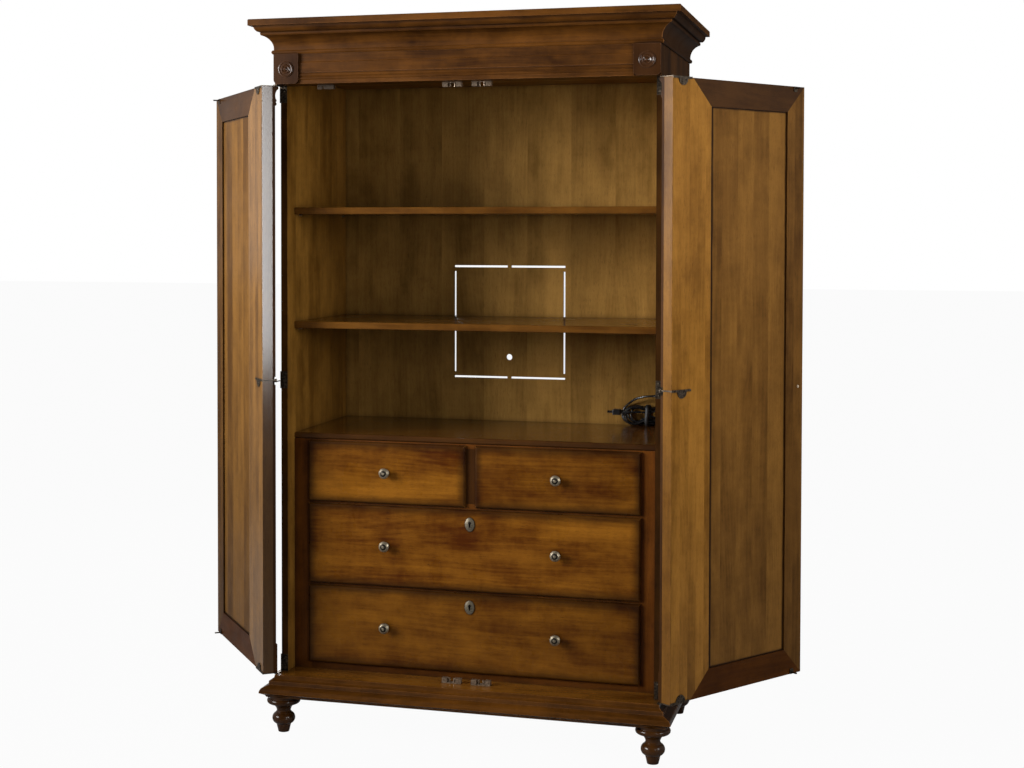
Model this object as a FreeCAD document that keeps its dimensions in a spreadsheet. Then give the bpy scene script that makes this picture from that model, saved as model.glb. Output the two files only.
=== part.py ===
import FreeCAD, Part
import math
import os
import re
import Sketcher

# A television armoire on turned feet: a case with a deck and two shelves over four drawers, a moulded
# crown, and two framed doors that swing right round on offset hinges and stand folded back.
# Millimetres. +X is the viewer's right, +Y the back, +Z up; the origin is on the floor under the middle.
# The places along Y are counted from the front edges of the case's sides.

SIZES = {
    # the case
    "case_width": 1168, "case_depth": 556, "side_wall": 20, "back_wall": 8, "bottom_board": 16,
    "base_forward": 50, "deck_board": 18, "deck_nose": 6, "shelf_board": 21, "shelf_play": 1,
    "shelf_nose": 3, "lower_bay": 322, "middle_bay": 330, "upper_bay": 369, "top_board": 18,
    "top_rise": 32,
    # the pegs under the shelves
    "peg_radius": 2.9, "peg_play": 0.1, "peg_depth": 8, "peg_reach": 8, "peg_inset": 45,
    # the openings in the back
    "slot_width": 6.5, "slot_half_span": 183.3, "slot_floor": 142, "slot_head": 506,
    "slot_bridge": 6, "slot_corner": 16, "cable_radius": 10, "cable_rise": 209,
    # the face frame round the drawers
    "frame_setback": 60, "frame_wall": 20, "stile_width": 57, "divider_width": 46, "base_rail": 31,
    "drawer_rail": 27, "deck_rail": 14, "low_drawer": 220, "mid_drawer": 226, "top_drawer": 166,
    "runner_width": 84, "runner_board": 18, "runner_back": 8, "middle_runner": 100,
    # the drawers
    "lip_proud": 11, "lip_side": 8, "lip_edge": 10, "lip_round": 7, "lip_play": 0.3,
    "front_play": 2, "front_wall": 11, "box_play": 5, "box_wall": 12, "box_gap": 28,
    "box_drop": 14, "box_back_drop": 10, "box_bottom": 6, "box_bottom_rise": 8, "run_play": 0.3,
    # the drawers' fittings
    "knob_radius": 16, "knob_reach": 28, "knob_foot": 11, "knob_neck": 5.5, "knob_tip": 3,
    "knob_span": 265, "knob_rise": 2, "lock_rise": 80, "plate_half_width": 15, "plate_half_height": 21,
    "plate_thick": 2.5, "keyhole_radius": 3, "keyhole_slot": 1.5, "keyhole_drop": 11,
    "lock_half_width": 30, "lock_height": 40, "lock_depth": 12,
    # the base moulding, from its top down
    "base_cove": 16, "base_fascia": 12.5, "base_swell": 22, "base_undercut": 13.5,
    "base_lip_out": 2.5, "base_cove_out": 15.5, "base_fascia_out": 16.5, "base_swell_out": 40.5,
    "base_foot_out": 22, "base_wall": 20, "mitre_reach": 90,
    # the feet
    "foot_height": 112, "foot_inset": 18, "foot_front": 20, "foot_back": 61, "foot_collar": 8,
    "collar_radius": 44, "bun_height": 16, "bun_edge": 46, "cup_height": 24,
    "neck_radius": 21, "ball_radius": 35, "ball_edge": 25.5, "ball_half_height": 16,
    "ankle_radius": 22, "ankle_height": 23, "toe_radius": 16.5, "block_side": 90,
    # the frieze, from its foot up
    "frieze_forward": 48, "frieze_wall": 20, "frieze_fillet": 11, "reed_height": 10,
    "reed_groove": 3, "frieze_fascia": 29, "frieze_slope": 3, "frieze_head": 24, "fillet_out": 4,
    "reed_bulge": 6.25, "groove_out": 2, "fascia_out": 5, "frieze_head_out": 3, "head_rail": 22,
    "head_rail_back": 24, "block_width": 78, "block_out": 12, "block_round": 14,
    # the cornice, from its foot up
    "astragal": 12, "cornice_fillet": 8, "cornice_cove": 35, "cornice_bead": 10.5, "ovolo": 16.5,
    "astragal_out": 5, "cornice_fillet_out": 2.5, "cove_out": 30, "bead_out": 32,
    "ovolo_foot_out": 41, "ovolo_out": 50, "cap_board": 19, "cap_round": 4, "crown_overhang": 63,
    # the turned rosettes
    "rosette_radius": 24, "rosette_out": 6, "rosette_rise": 44, "rosette_inset": 39,
    # the doors
    "door_gap": 5, "meeting_gap": 3, "door_case_gap": 3, "door_board": 32, "door_frame": 78,
    "hinge_post": 85, "panel_groove": 9, "panel_tongue": 8, "panel_recess": 5,
    "panel_field": 14, "panel_bevel": 38, "panel_field_play": 8, "sticking": 5, "pilaster": 9,
    "pilaster_width": 78, "flute_radius": 7, "flute_width": 12, "flute_pitch": 20,
    "capital_out": 8, "capital_height": 58, "capital_bead": 10, "capital_cove": 27,
    "plinth_height": 90, "plinth_out": 4, "door_knob_inset": 20, "door_knob_drop": 20,
    # the hinges
    "hinge_gap": 1, "pin_radius": 3, "pin_play": 0.1, "eye_radius": 5, "leaf_height": 52,
    "leaf_thick": 2, "leaf_out": 3.5, "arm_thick": 2.5, "strap_thick": 2.2, "strap_plate": 2,
    "strap_reach": 80, "strap_band": 6, "strap_leg": 14, "knuckle_height": 4, "knuckle_notch": 12,
    "knuckle_notch_rise": 12, "lug_near": 24, "lug_radius": 19, "turn_play": 0.1, "pin_stand_off": 0.2,
    # the catches and their strikes
    "catch_span": 45, "catch_half": 29, "catch_front": 2, "catch_deep": 22, "catch_plate": 2,
    "catch_height": 14, "catch_block": 16, "catch_lip": 2, "roller_radius": 4, "roller_span": 8,
    "strike_half": 8, "strike_height": 16, "prong_half": 2, "prong_reach": 19, "prong_height": 4,
    "prong_rise": 3, "stay_near": 414, "stay_far": 467, "stay_face": 17, "stay_depth": 16,
    "stay_drop": 13, "stay_plate": 2, "stay_gap": 3,
    # the outlet, its lead and its plug
    "outlet_wide": 40, "outlet_long": 120, "outlet_tall": 110, "outlet_back": 34,
    "outlet_rise": 72, "outlet_round": 5, "outlet_face": 3, "socket_side": 28, "socket_depth": 3,
    "gland_radius": 7, "gland_end_radius": 4.6, "gland_length": 20, "cord_diameter": 7,
    "hank_length": 178, "hank_height": 67, "hank_thick": 44, "hank_clear": 3, "hank_round": 9,
    "plug_long": 27, "plug_half": 9, "plug_round": 4, "blade_long": 16, "blade_high": 6.4,
    "blade_thick": 1.6, "blade_span": 6.35,
    # how far each door is swung, in degrees from shut
    "right_swing": 235.4, "left_swing": 233,
}

PLACES = {
    # across and back
    "half_width": "case_width / 2",
    "inner_half": "half_width - side_wall",
    "front": "-(case_depth - frieze_forward - crown_overhang) / 2",
    "back_in": "case_depth - back_wall",
    "frame_half": "inner_half - stile_width",
    "frame_back": "frame_setback + frame_wall",
    "box_length": "back_in - box_gap - frame_setback - front_wall",
    # up the case
    "ledge": "foot_height + base_undercut + base_swell + base_fascia + base_cove",
    "low_floor": "ledge + base_rail",
    "low_head": "low_floor + low_drawer",
    "mid_floor": "low_head + drawer_rail",
    "mid_head": "mid_floor + mid_drawer",
    "top_floor": "mid_head + drawer_rail",
    "top_head": "top_floor + top_drawer",
    "deck_floor": "top_head + deck_rail",
    "deck_top": "deck_floor + deck_board",
    "lower_shelf_floor": "deck_top + lower_bay",
    "lower_shelf_top": "lower_shelf_floor + shelf_board",
    "upper_shelf_floor": "lower_shelf_top + middle_bay",
    "upper_shelf_top": "upper_shelf_floor + shelf_board",
    "head": "upper_shelf_top + upper_bay",
    "frieze_height": "frieze_fillet + 2 * reed_height + reed_groove + frieze_fascia + frieze_slope"
                     " + frieze_head",
    "cornice_floor": "head + frieze_height",
    "cap_floor": "cornice_floor + astragal + cornice_fillet + cornice_cove + cornice_bead + ovolo",
    # the doors
    "door_bottom": "ledge + door_gap",
    "door_top": "head - door_gap",
    "door_middle": "(ledge + head) / 2",
    "door_width": "half_width - meeting_gap / 2",
    "door_thick": "door_board + pilaster",
    "hinge_across": "half_width + hinge_gap",
    "hinge_forward": "door_thick + door_case_gap",
    "frame_inner": "hinge_post + door_frame",
    "panel_back": "door_thick - panel_recess",
    "panel_front": "panel_back - panel_tongue",
    # the lead
    "hank_left": "inner_half - 11 - hank_length",
    "hank_back": "back_in - hank_clear",
    "hank_front": "hank_back - hank_thick",
    "gland_back": "back_in - 48",
    "gland_up": "deck_top + 99",
}

doc = FreeCAD.newDocument("Armoire")
nodes = []


def bound(text):
    """Write each size and place of an expression with the sheet that holds it."""
    def with_sheet(word):
        name = word.group()
        if name in SIZES:
            return "Size." + name
        return "Place." + name if name in PLACES else name
    return re.sub(r"[a-z_]+", with_sheet, str(text))


def fill(title, cells):
    """Lay names and contents out in two columns of a new sheet, each content under its name as alias."""
    sheet = doc.addObject("Spreadsheet::Sheet", title)
    for row, (alias, content) in enumerate(cells.items(), start=1):
        sheet.set(f"A{row}", alias)
        sheet.set(f"B{row}", content)
        sheet.setAlias(f"B{row}", alias)
    doc.recompute()
    return sheet


size_sheet = fill("Size", {name: str(number) for name, number in SIZES.items()})
fill("Place", {name: "=" + bound(formula) for name, formula in PLACES.items()})


def value(text):
    """What an expression comes to at the sizes as they stand."""
    return float(size_sheet.evalExpression(bound(text)))


def bind(thing, path, text):
    thing.setExpression(path, bound(text))


def place(thing, x="0", y="0", z="0"):
    """Set a sub-part down at a place counted from the middle, the case's front and the floor."""
    bind(thing, "Placement.Base.x", x)
    bind(thing, "Placement.Base.y", f"front + ({y})")
    bind(thing, "Placement.Base.z", z)
    return thing


def keep(thing):
    nodes.append(thing)
    return thing


def group(label, members):
    """Several separate solids of one kind, kept as one sub-part."""
    compound = doc.addObject("Part::Compound", label)
    compound.Links = members
    return keep(compound)


def board(label, x, y, z):
    """A plain board between two places along each axis."""
    box = doc.addObject("Part::Box", label)
    for side, (low, high) in zip(("Length", "Width", "Height"), (x, y, z)):
        bind(box, side, f"({high}) - ({low})")
    return place(box, x[0], y[0], z[0])


def new_body(label, x="0", y="0", z="0"):
    return place(doc.addObject("PartDesign::Body", label), x, y, z)


# Loops are lists of corners (across, up); an arc that ends at a corner adds its radius and its way
# round, 1 against the clock and -1 with it. A circle is one tuple (across, up, radius).

def rect(left, low, right, high):
    return [(left, low), (right, low), (right, high), (left, high)]


def flipped(loop, way):
    """The loop itself for a way of 1, and its mirror image across the upright axis for -1."""
    return [(f"{way} * ({p[0]})", p[1], *((p[2], way * p[3]) if len(p) > 2 else ())) for p in loop]


def laid(profile, start, way):
    """A moulding's profile of (out, up) corners, set out from a face at start towards way."""
    return [(f"({start}) + {way} * ({p[0]})", p[1], *((p[2], way * p[3]) if len(p) > 2 else ()))
            for p in profile]


def arc(start, end, radius, way):
    """The lesser arc of a radius from start to end."""
    half = math.dist(start, end) / 2
    rise = math.sqrt(max(radius ** 2 - half ** 2, 0)) * way
    run = [(b - a) / (2 * half) for a, b in zip(start, end)]
    centre = ((start[0] + end[0]) / 2 - run[1] * rise, (start[1] + end[1]) / 2 + run[0] * rise)
    first, last = (start, end) if way > 0 else (end, start)
    turns = [math.atan2(p[1] - centre[1], p[0] - centre[0]) for p in (first, last)]
    circle = Part.Circle(FreeCAD.Vector(*centre, 0), FreeCAD.Vector(0, 0, 1), radius)
    return Part.ArcOfCircle(circle, turns[0], turns[1] + (2 * math.pi if turns[1] < turns[0] else 0))


def constrain(sketch, kind, where, text):
    number = sketch.addConstraint(Sketcher.Constraint(kind, *where, value(text)))
    bind(sketch, f"Constraints[{number}]", text)


def draw(sketch, loop):
    """Draw a closed loop with every corner and radius held by the sheets."""
    if isinstance(loop, tuple):
        across, up, radius = loop
        centre = FreeCAD.Vector(value(across), value(up), 0)
        edge = sketch.addGeometry(Part.Circle(centre, FreeCAD.Vector(0, 0, 1), value(radius)), False)
        constrain(sketch, "DistanceX", (-1, 1, edge, 3), across)
        constrain(sketch, "DistanceY", (-1, 1, edge, 3), up)
        constrain(sketch, "Radius", (edge,), radius)
        return
    corners = [(value(corner[0]), value(corner[1])) for corner in loop]
    ends = []
    for number, corner in enumerate(loop):
        start, end = corners[number - 1], corners[number]
        if len(corner) == 2:
            line = Part.LineSegment(FreeCAD.Vector(*start, 0), FreeCAD.Vector(*end, 0))
            ends.append((sketch.addGeometry(line, False), 1, 2))
            continue
        radius, way = corner[2:]
        edge = sketch.addGeometry(arc(start, end, value(radius), way), False)
        ends.append((edge, 1, 2) if way > 0 else (edge, 2, 1))
    for number, (edge, _, end) in enumerate(ends):
        following, start, _ = ends[(number + 1) % len(ends)]
        sketch.addConstraint(Sketcher.Constraint("Coincident", edge, end, following, start))
    for (edge, _, end), corner in zip(ends, loop):
        constrain(sketch, "DistanceX", (-1, 1, edge, end), corner[0])
        constrain(sketch, "DistanceY", (-1, 1, edge, end), corner[1])
        if len(corner) > 2:
            constrain(sketch, "Radius", (edge,), corner[2])


def sketch_on(body, plane, offset, loops):
    """A sketch on one of the body's planes; a sketch on XZ looks along +Y, so its offset is towards -Y."""
    sketch = body.newObject("Sketcher::SketchObject", body.Name + "_sketch")
    origin_plane = next(item for item in body.Origin.OriginFeatures if item.Role == plane + "_Plane")
    sketch.AttachmentSupport = [(origin_plane, "")]
    sketch.MapMode = "FlatFace"
    bind(sketch, "AttachmentOffset.Base.z", offset)
    for loop in loops:
        draw(sketch, loop)
    return sketch


def pad(body, plane, loops, low, high):
    """Add the loops' area, drawn across a plane, from low to high along the axis square to it."""
    sketch = sketch_on(body, plane, f"-({high})" if plane == "XZ" else low, loops)
    feature = body.newObject("PartDesign::Pad", body.Name + "_pad")
    feature.Profile = (sketch, "")
    bind(feature, "Length", f"({high}) - ({low})")
    return body


def pocket(body, plane, loops, low, high):
    """Cut the loops' area away from low to high along the axis square to their plane."""
    doc.recompute()
    before = body.Shape.Volume
    sketch = sketch_on(body, plane, f"-({low})" if plane == "XZ" else high, loops)
    feature = body.newObject("PartDesign::Pocket", body.Name + "_pocket")
    feature.Profile = (sketch, "")
    bind(feature, "Length", f"({high}) - ({low})")
    doc.recompute()
    if body.Shape.Volume >= before:
        raise ValueError(f"a pocket of {body.Name} cuts nothing")
    return body


def turn(body, plane, axis, loop):
    """Turn a half outline once round the sketch's upright or level axis."""
    sketch = sketch_on(body, plane, "0", [loop])
    feature = body.newObject("PartDesign::Revolution", body.Name + "_turning")
    feature.Profile = (sketch, "")
    feature.ReferenceAxis = (sketch, [axis])
    feature.Angle = 360
    return body


def edges_in_plane(body, axis, text):
    """Names of the edges that lie wholly at one place along an axis of the body."""
    doc.recompute()
    at = value(text)
    edges = body.Tip.Shape.Edges
    return [f"Edge{number}" for number, edge in enumerate(edges, start=1)
            if all(abs(getattr(vertex, axis) - at) < 0.001 for vertex in edge.Vertexes)]


def dress(body, kind, edges, **sizes):
    """Round or bevel named edges of the body's last feature."""
    base = body.Tip
    feature = body.newObject("PartDesign::" + kind, body.Name + "_" + kind.lower())
    feature.Base = (base, edges)
    if "Size2" in sizes:
        feature.ChamferType = "Two distances"
    for name, text in sizes.items():
        bind(feature, name, text)
    body.Tip = feature
    return body


# The case: two sides let in for the hinge leaves, a back with cable slots, and boards between them.

def side_panel(label, way):
    middle_low = "door_middle - leaf_height / 2"
    middle_high = "door_middle + leaf_height / 2"
    outline = [("leaf_thick", "ledge"), ("case_depth", "ledge"), ("case_depth", "cap_floor"),
               ("0", "cap_floor"), ("0", "head"), ("leaf_thick", "head"),
               ("leaf_thick", "head - leaf_height"), ("0", "head - leaf_height"), ("0", middle_high),
               ("leaf_thick", middle_high), ("leaf_thick", middle_low), ("0", middle_low),
               ("0", "ledge + leaf_height"), ("leaf_thick", "ledge + leaf_height")]
    low, high = ("inner_half", "half_width") if way > 0 else ("-half_width", "-inner_half")
    panel = pad(new_body(label), "YZ", [outline], low, high)
    holes = [(y, f"{floor} - peg_radius", "peg_radius + peg_play")
             for floor in ("lower_shelf_floor", "upper_shelf_floor")
             for y in ("frame_setback + peg_inset", "back_in - peg_inset")]
    low, high = (("inner_half", "inner_half + peg_depth") if way > 0
                 else ("-inner_half - peg_depth", "-inner_half"))
    return keep(pocket(panel, "YZ", holes, low, high))


def back_panel():
    left, right = "-slot_half_span", "slot_half_span"
    low, high = "deck_top + slot_floor", "deck_top + slot_head"
    half, middle = "slot_width / 2", "(2 * deck_top + slot_floor + slot_head) / 2"
    slots = []
    for height in (low, high):
        slots.append(rect(f"{left} - {half}", f"{height} - {half}", "-slot_bridge", f"{height} + {half}"))
        slots.append(rect("slot_bridge", f"{height} - {half}", f"{right} + {half}", f"{height} + {half}"))
    for across in (left, right):
        slots.append(rect(f"{across} - {half}", f"{low} + slot_corner", f"{across} + {half}",
                          f"{middle} - slot_bridge"))
        slots.append(rect(f"{across} - {half}", f"{middle} + slot_bridge", f"{across} + {half}",
                          f"{high} - slot_corner"))
    panel = pad(new_body("back_panel"), "XZ", [rect("-inner_half", "ledge", "inner_half", "cap_floor")],
                "back_in", "case_depth")
    cuts = slots + [("0", "deck_top + cable_rise", "cable_radius")]
    keep(pocket(panel, "XZ", cuts, "back_in - 1", "case_depth + 1"))


def nosed_board(label, half, low, high, nose):
    """A deck or shelf whose front edge is rounded above and below."""
    outline = rect(f"-({half})", "frame_setback", half, "back_in")
    slab = pad(new_body(label), "XY", [outline], low, high)
    front = [name for name in edges_in_plane(slab, "Y", "frame_setback")
             if abs(slab.Tip.Shape.Edges[int(name[4:]) - 1].Length - value(f"2 * ({half})")) < 0.01]
    keep(dress(slab, "Fillet", front, Radius=nose))


def shelf_pegs():
    pegs = []
    for floor in ("lower_shelf_floor", "upper_shelf_floor"):
        for y in ("frame_setback + peg_inset", "back_in - peg_inset"):
            for start in ("inner_half - peg_reach", "-inner_half - peg_depth"):
                peg = doc.addObject("Part::Cylinder", "peg")
                peg.Placement.Rotation = FreeCAD.Rotation(FreeCAD.Vector(0, 1, 0), 90)
                bind(peg, "Radius", "peg_radius")
                bind(peg, "Height", "peg_depth + peg_reach")
                pegs.append(place(peg, start, y, f"{floor} - peg_radius"))
    group("shelf_pegs", pegs)


side_panel("side_panel_left", -1)
side_panel("side_panel_right", 1)
back_panel()
keep(board("bottom_board", ("-half_width", "half_width"), ("-base_forward", "case_depth"),
           ("ledge - bottom_board", "ledge")))
keep(board("case_top", ("-inner_half", "inner_half"), ("head_rail_back", "back_in"),
           ("head + top_rise", "head + top_rise + top_board")))
nosed_board("deck", "inner_half", "deck_floor", "deck_top", "deck_nose")
nosed_board("lower_shelf", "inner_half - shelf_play", "lower_shelf_floor", "lower_shelf_top", "shelf_nose")
nosed_board("upper_shelf", "inner_half - shelf_play", "upper_shelf_floor", "upper_shelf_top", "shelf_nose")
shelf_pegs()

# The face frame that the drawers shut against, and the boards that they run on.

FRAME_Y = ("frame_setback", "frame_back")
SPAN = ("-frame_half", "frame_half")
group("face_frame", [
    board("left_stile", ("-inner_half", "-frame_half"), FRAME_Y, ("ledge", "deck_floor")),
    board("right_stile", ("frame_half", "inner_half"), FRAME_Y, ("ledge", "deck_floor")),
    board("base_rail", SPAN, FRAME_Y, ("ledge", "low_floor")),
    board("lower_rail", SPAN, FRAME_Y, ("low_head", "mid_floor")),
    board("middle_rail", SPAN, FRAME_Y, ("mid_head", "top_floor")),
    board("deck_rail", SPAN, FRAME_Y, ("top_head", "deck_floor")),
    board("divider", ("-divider_width / 2", "divider_width / 2"), FRAME_Y, ("top_floor", "top_head")),
])
runner_y = ("frame_back", "back_in - runner_back")
runners = []
for floor in ("low_floor", "mid_floor", "top_floor"):
    runner_z = (f"{floor} - runner_board", floor)
    runners.append(board("runner", ("-inner_half", "-inner_half + runner_width"), runner_y, runner_z))
    runners.append(board("runner", ("inner_half - runner_width", "inner_half"), runner_y, runner_z))
runners.append(board("runner", ("-middle_runner / 2", "middle_runner / 2"), ("frame_back", "back_in"),
                     ("top_floor - runner_board", "top_floor")))
group("drawer_runners", runners)


# The mouldings: each runs round the front and both sides, with its corners mitred.

def moulding(name, profile, face, floor, top):
    """The front piece and the two returns of a moulding whose profile stands out from the case."""
    cut_low, cut_high = f"{floor} - 1", f"{top} + 1"
    inner, outer = "half_width - mitre_reach", "half_width + mitre_reach"
    corner = [(inner, f"{face} + mitre_reach"), (outer, f"{face} - mitre_reach")]
    front_waste = corner + [(outer, f"{face} + mitre_reach")]
    return_waste = corner + [(inner, f"{face} - mitre_reach")]
    piece = new_body(name + "_front")
    pad(piece, "YZ", [laid(profile, face, -1)], f"-({outer})", outer)
    for way in (-1, 1):
        pocket(piece, "XY", [flipped(front_waste, way)], cut_low, cut_high)
    keep(piece)
    for side, way in (("_return_left", -1), ("_return_right", 1)):
        piece = new_body(name + side)
        pad(piece, "XZ", [laid(profile, f"{way} * half_width", way)], f"{face} - mitre_reach", "case_depth")
        keep(pocket(piece, "XY", [flipped(return_waste, way)], cut_low, cut_high))


def base_profile():
    """A cove under the case's floor, a fascia, a swelling ogee and an undercut; it backs onto the feet."""
    cove_foot = "ledge - base_cove"
    fascia_foot = f"{cove_foot} - base_fascia"
    swell_foot = f"{fascia_foot} - base_swell"
    return [("0", "ledge"), ("base_lip_out", "ledge"), ("base_lip_out + 2", "ledge - base_cove * 0.6"),
            ("base_cove_out", f"{cove_foot} + 0.6", "base_cove_out", 1),
            ("base_fascia_out", cove_foot), ("base_fascia_out", f"{fascia_foot} + 1"),
            ("base_fascia_out + 2.4", fascia_foot),
            ("base_swell_out - 5", f"{fascia_foot} - base_swell * 0.34"),
            ("base_swell_out", f"{swell_foot} + 1", "base_swell", -1),
            ("base_foot_out + 4", f"{swell_foot} - base_undercut / 2"), ("base_foot_out", "foot_height"),
            ("-base_wall", "foot_height"), ("-base_wall", "ledge - bottom_board"),
            ("0", "ledge - bottom_board")]


def cornice_profile():
    """An astragal, a fillet, a deep cove, a bead and an ovolo under the cap."""
    astragal_top = "cornice_floor + astragal"
    cove_foot = f"{astragal_top} + cornice_fillet"
    cove_top = f"{cove_foot} + cornice_cove"
    bead_top = f"{cove_top} + cornice_bead"
    return [("0", "cap_floor"), ("0", "cornice_floor"), ("astragal_out", "cornice_floor"),
            ("astragal_out", astragal_top, "astragal * 0.6", 1), ("cornice_fillet_out", astragal_top),
            ("cornice_fillet_out", cove_foot), ("cove_out", cove_top, "cornice_cove * 1.15", -1),
            ("bead_out", cove_top), ("bead_out", bead_top, "cornice_bead * 0.7", 1),
            ("ovolo_foot_out", bead_top), ("ovolo_out", "cap_floor", "ovolo * 1.2", 1)]


def frieze_profile():
    """A fillet, two reeds, a groove and a fascia that slopes back to a plain head."""
    reeds = "head + frieze_fillet"
    groove = f"{reeds} + 2 * reed_height"
    fascia = f"{groove} + reed_groove"
    slope = f"{fascia} + frieze_fascia"
    return [("0", "cornice_floor"), ("0", "head"), ("fillet_out", "head"), ("fillet_out", reeds),
            ("fillet_out", f"{reeds} + reed_height", "reed_bulge", 1),
            ("fillet_out", groove, "reed_bulge", 1), ("groove_out", groove), ("groove_out", fascia),
            ("fascia_out", fascia), ("fascia_out", slope),
            ("frieze_head_out", f"{slope} + frieze_slope"), ("frieze_head_out", "cornice_floor")]


moulding("base", base_profile(), "-base_forward", "foot_height", "ledge")
moulding("cornice", cornice_profile(), "-frieze_forward", "cornice_floor", "cap_floor")
strip = new_body("frieze_moulding")
keep(pad(strip, "YZ", [laid(frieze_profile(), "-frieze_forward", -1)],
         "-(half_width - block_width)", "half_width - block_width"))

# The crown's frame: a frieze board between two returns, with the head rail behind it and the cap on top.

FRIEZE_Z = ("head", "cap_floor")
frieze_back = "frieze_wall - frieze_forward"
keep(board("frieze_board", ("-inner_half", "inner_half"), ("-frieze_forward", frieze_back), FRIEZE_Z))
group("crown_frame", [
    board("head_rail", ("-inner_half", "inner_half"), (frieze_back, "head_rail_back"),
          ("head", "head + head_rail")),
    board("crown_return", ("-half_width", "-inner_half"), ("-frieze_forward", "0"), FRIEZE_Z),
    board("crown_return", ("inner_half", "half_width"), ("-frieze_forward", "0"), FRIEZE_Z),
])
cap_edge = "half_width + crown_overhang"
cap = new_body("cornice_cap")
pad(cap, "XY", [rect(f"-({cap_edge})", "-frieze_forward - crown_overhang", cap_edge, "case_depth")],
    "cap_floor", "cap_floor + cap_board")
keep(dress(cap, "Fillet", edges_in_plane(cap, "Z", "cap_floor + cap_board"), Radius="cap_round"))


def corner_rosette(way):
    """A corner block with its lower corners rounded, and the turned rosette on it."""
    inner = "half_width - block_width"
    outline = [(inner, "cornice_floor"), (inner, "head + block_round"),
               (f"{inner} + block_round", "head", "block_round", 1), ("half_width - block_round", "head"),
               ("half_width", "head + block_round", "block_round", 1), ("half_width", "cornice_floor")]
    block = pad(new_body("corner_block"), "XZ", [flipped(outline, way)],
                "-frieze_forward - block_out", "-frieze_forward")
    rings = [("0", "0"), ("0", "rosette_radius"), ("-rosette_out * 0.3", "rosette_radius"),
             ("-rosette_out * 0.3", "rosette_radius * 0.72", "rosette_radius * 0.2", 1),
             ("-rosette_out * 0.3", "rosette_radius * 0.62"),
             ("-rosette_out * 0.7", "rosette_radius * 0.48"), ("-rosette_out * 0.35", "rosette_radius * 0.3"),
             ("-rosette_out", "rosette_radius * 0.1", "rosette_radius * 0.5", 1), ("-rosette_out", "0")]
    rosette = new_body("rosette", f"{way} * (half_width - rosette_inset)", "-frieze_forward - block_out",
                       "head + rosette_rise")
    return [block, turn(rosette, "YZ", "H_Axis", rings)]


group("corner_rosettes", corner_rosette(-1) + corner_rosette(1))


# The feet, turned in one piece from collar to toe, and the blocks that they are fixed into.

def foot(x, y):
    ball_foot = "ankle_height + 3"
    neck = f"{ball_foot} + 2 * ball_half_height + 6"
    bun_foot = "foot_height - foot_collar - bun_height"
    ball_arc = "(ball_half_height ^ 2 + (ball_radius - ball_edge) ^ 2) / 2 / (ball_radius - ball_edge)"
    outline = [("0", "0"), ("toe_radius", "0"), ("ankle_radius", "ankle_height"), ("ball_edge", ball_foot),
               ("ball_radius", f"{ball_foot} + ball_half_height", ball_arc, 1),
               ("ball_edge", f"{ball_foot} + 2 * ball_half_height", ball_arc, 1), ("neck_radius", neck),
               ("bun_edge", bun_foot, "cup_height * 1.1", -1),
               ("bun_edge", f"{bun_foot} + bun_height", "bun_height * 0.56", 1),
               ("collar_radius", "foot_height - foot_collar"), ("collar_radius", "foot_height"),
               ("0", "foot_height")]
    return turn(new_body("foot", x, y), "XZ", "V_Axis", outline)


FOOT_X = ("-(half_width - foot_inset)", "half_width - foot_inset")
FOOT_Y = ("foot_front - base_forward", "case_depth - foot_back")
group("feet", [foot(x, y) for x in FOOT_X for y in FOOT_Y])
block_in = "half_width - base_wall"
block_front = "base_wall - base_forward"
BLOCK_X = ((f"-({block_in})", f"-({block_in}) + block_side"), (f"{block_in} - block_side", block_in))
BLOCK_Y = ((block_front, f"{block_front} + block_side"),
           ("case_depth - foot_back - block_side / 2", "case_depth - foot_back + block_side / 2"))
BLOCK_Z = ("foot_height", "ledge - bottom_board")
group("foot_blocks", [board("foot_block", x, y, BLOCK_Z) for x in BLOCK_X for y in BLOCK_Y])


# Fittings that more than one piece has.

def knob(label):
    """A mushroom knob on a round foot, turned about Y with its foot at the origin."""
    outline = [("0", "0"), ("0", "knob_foot"), ("-2", "knob_foot"), ("-3.5", "knob_neck + 1.5"),
               ("-knob_reach * 0.45", "knob_neck"),
               ("-knob_reach * 0.6", "knob_radius * 0.8", "knob_radius", -1),
               ("-knob_reach * 0.72", "knob_radius", "knob_radius * 0.3", 1),
               ("-knob_reach", "knob_tip", "knob_radius * 1.25", 1), ("-knob_reach", "0")]
    return turn(new_body(label), "YZ", "H_Axis", outline)


def keyhole(across, up):
    """A round hole of a keyhole with the slot under it."""
    drop = "keyhole_radius - sqrt(keyhole_radius ^ 2 - keyhole_slot ^ 2)"
    low = f"{up} - keyhole_radius + {drop}"
    return [(f"{across} - keyhole_slot", f"{up} + keyhole_radius - keyhole_drop"),
            (f"{across} + keyhole_slot", f"{up} + keyhole_radius - keyhole_drop"),
            (f"{across} + keyhole_slot", low), (across, f"{up} + keyhole_radius", "keyhole_radius", 1),
            (f"{across} - keyhole_slot", low, "keyhole_radius", 1)]


# The drawers: a front that laps its opening, a box of plain boards, and the knobs and lock on it.

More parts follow.
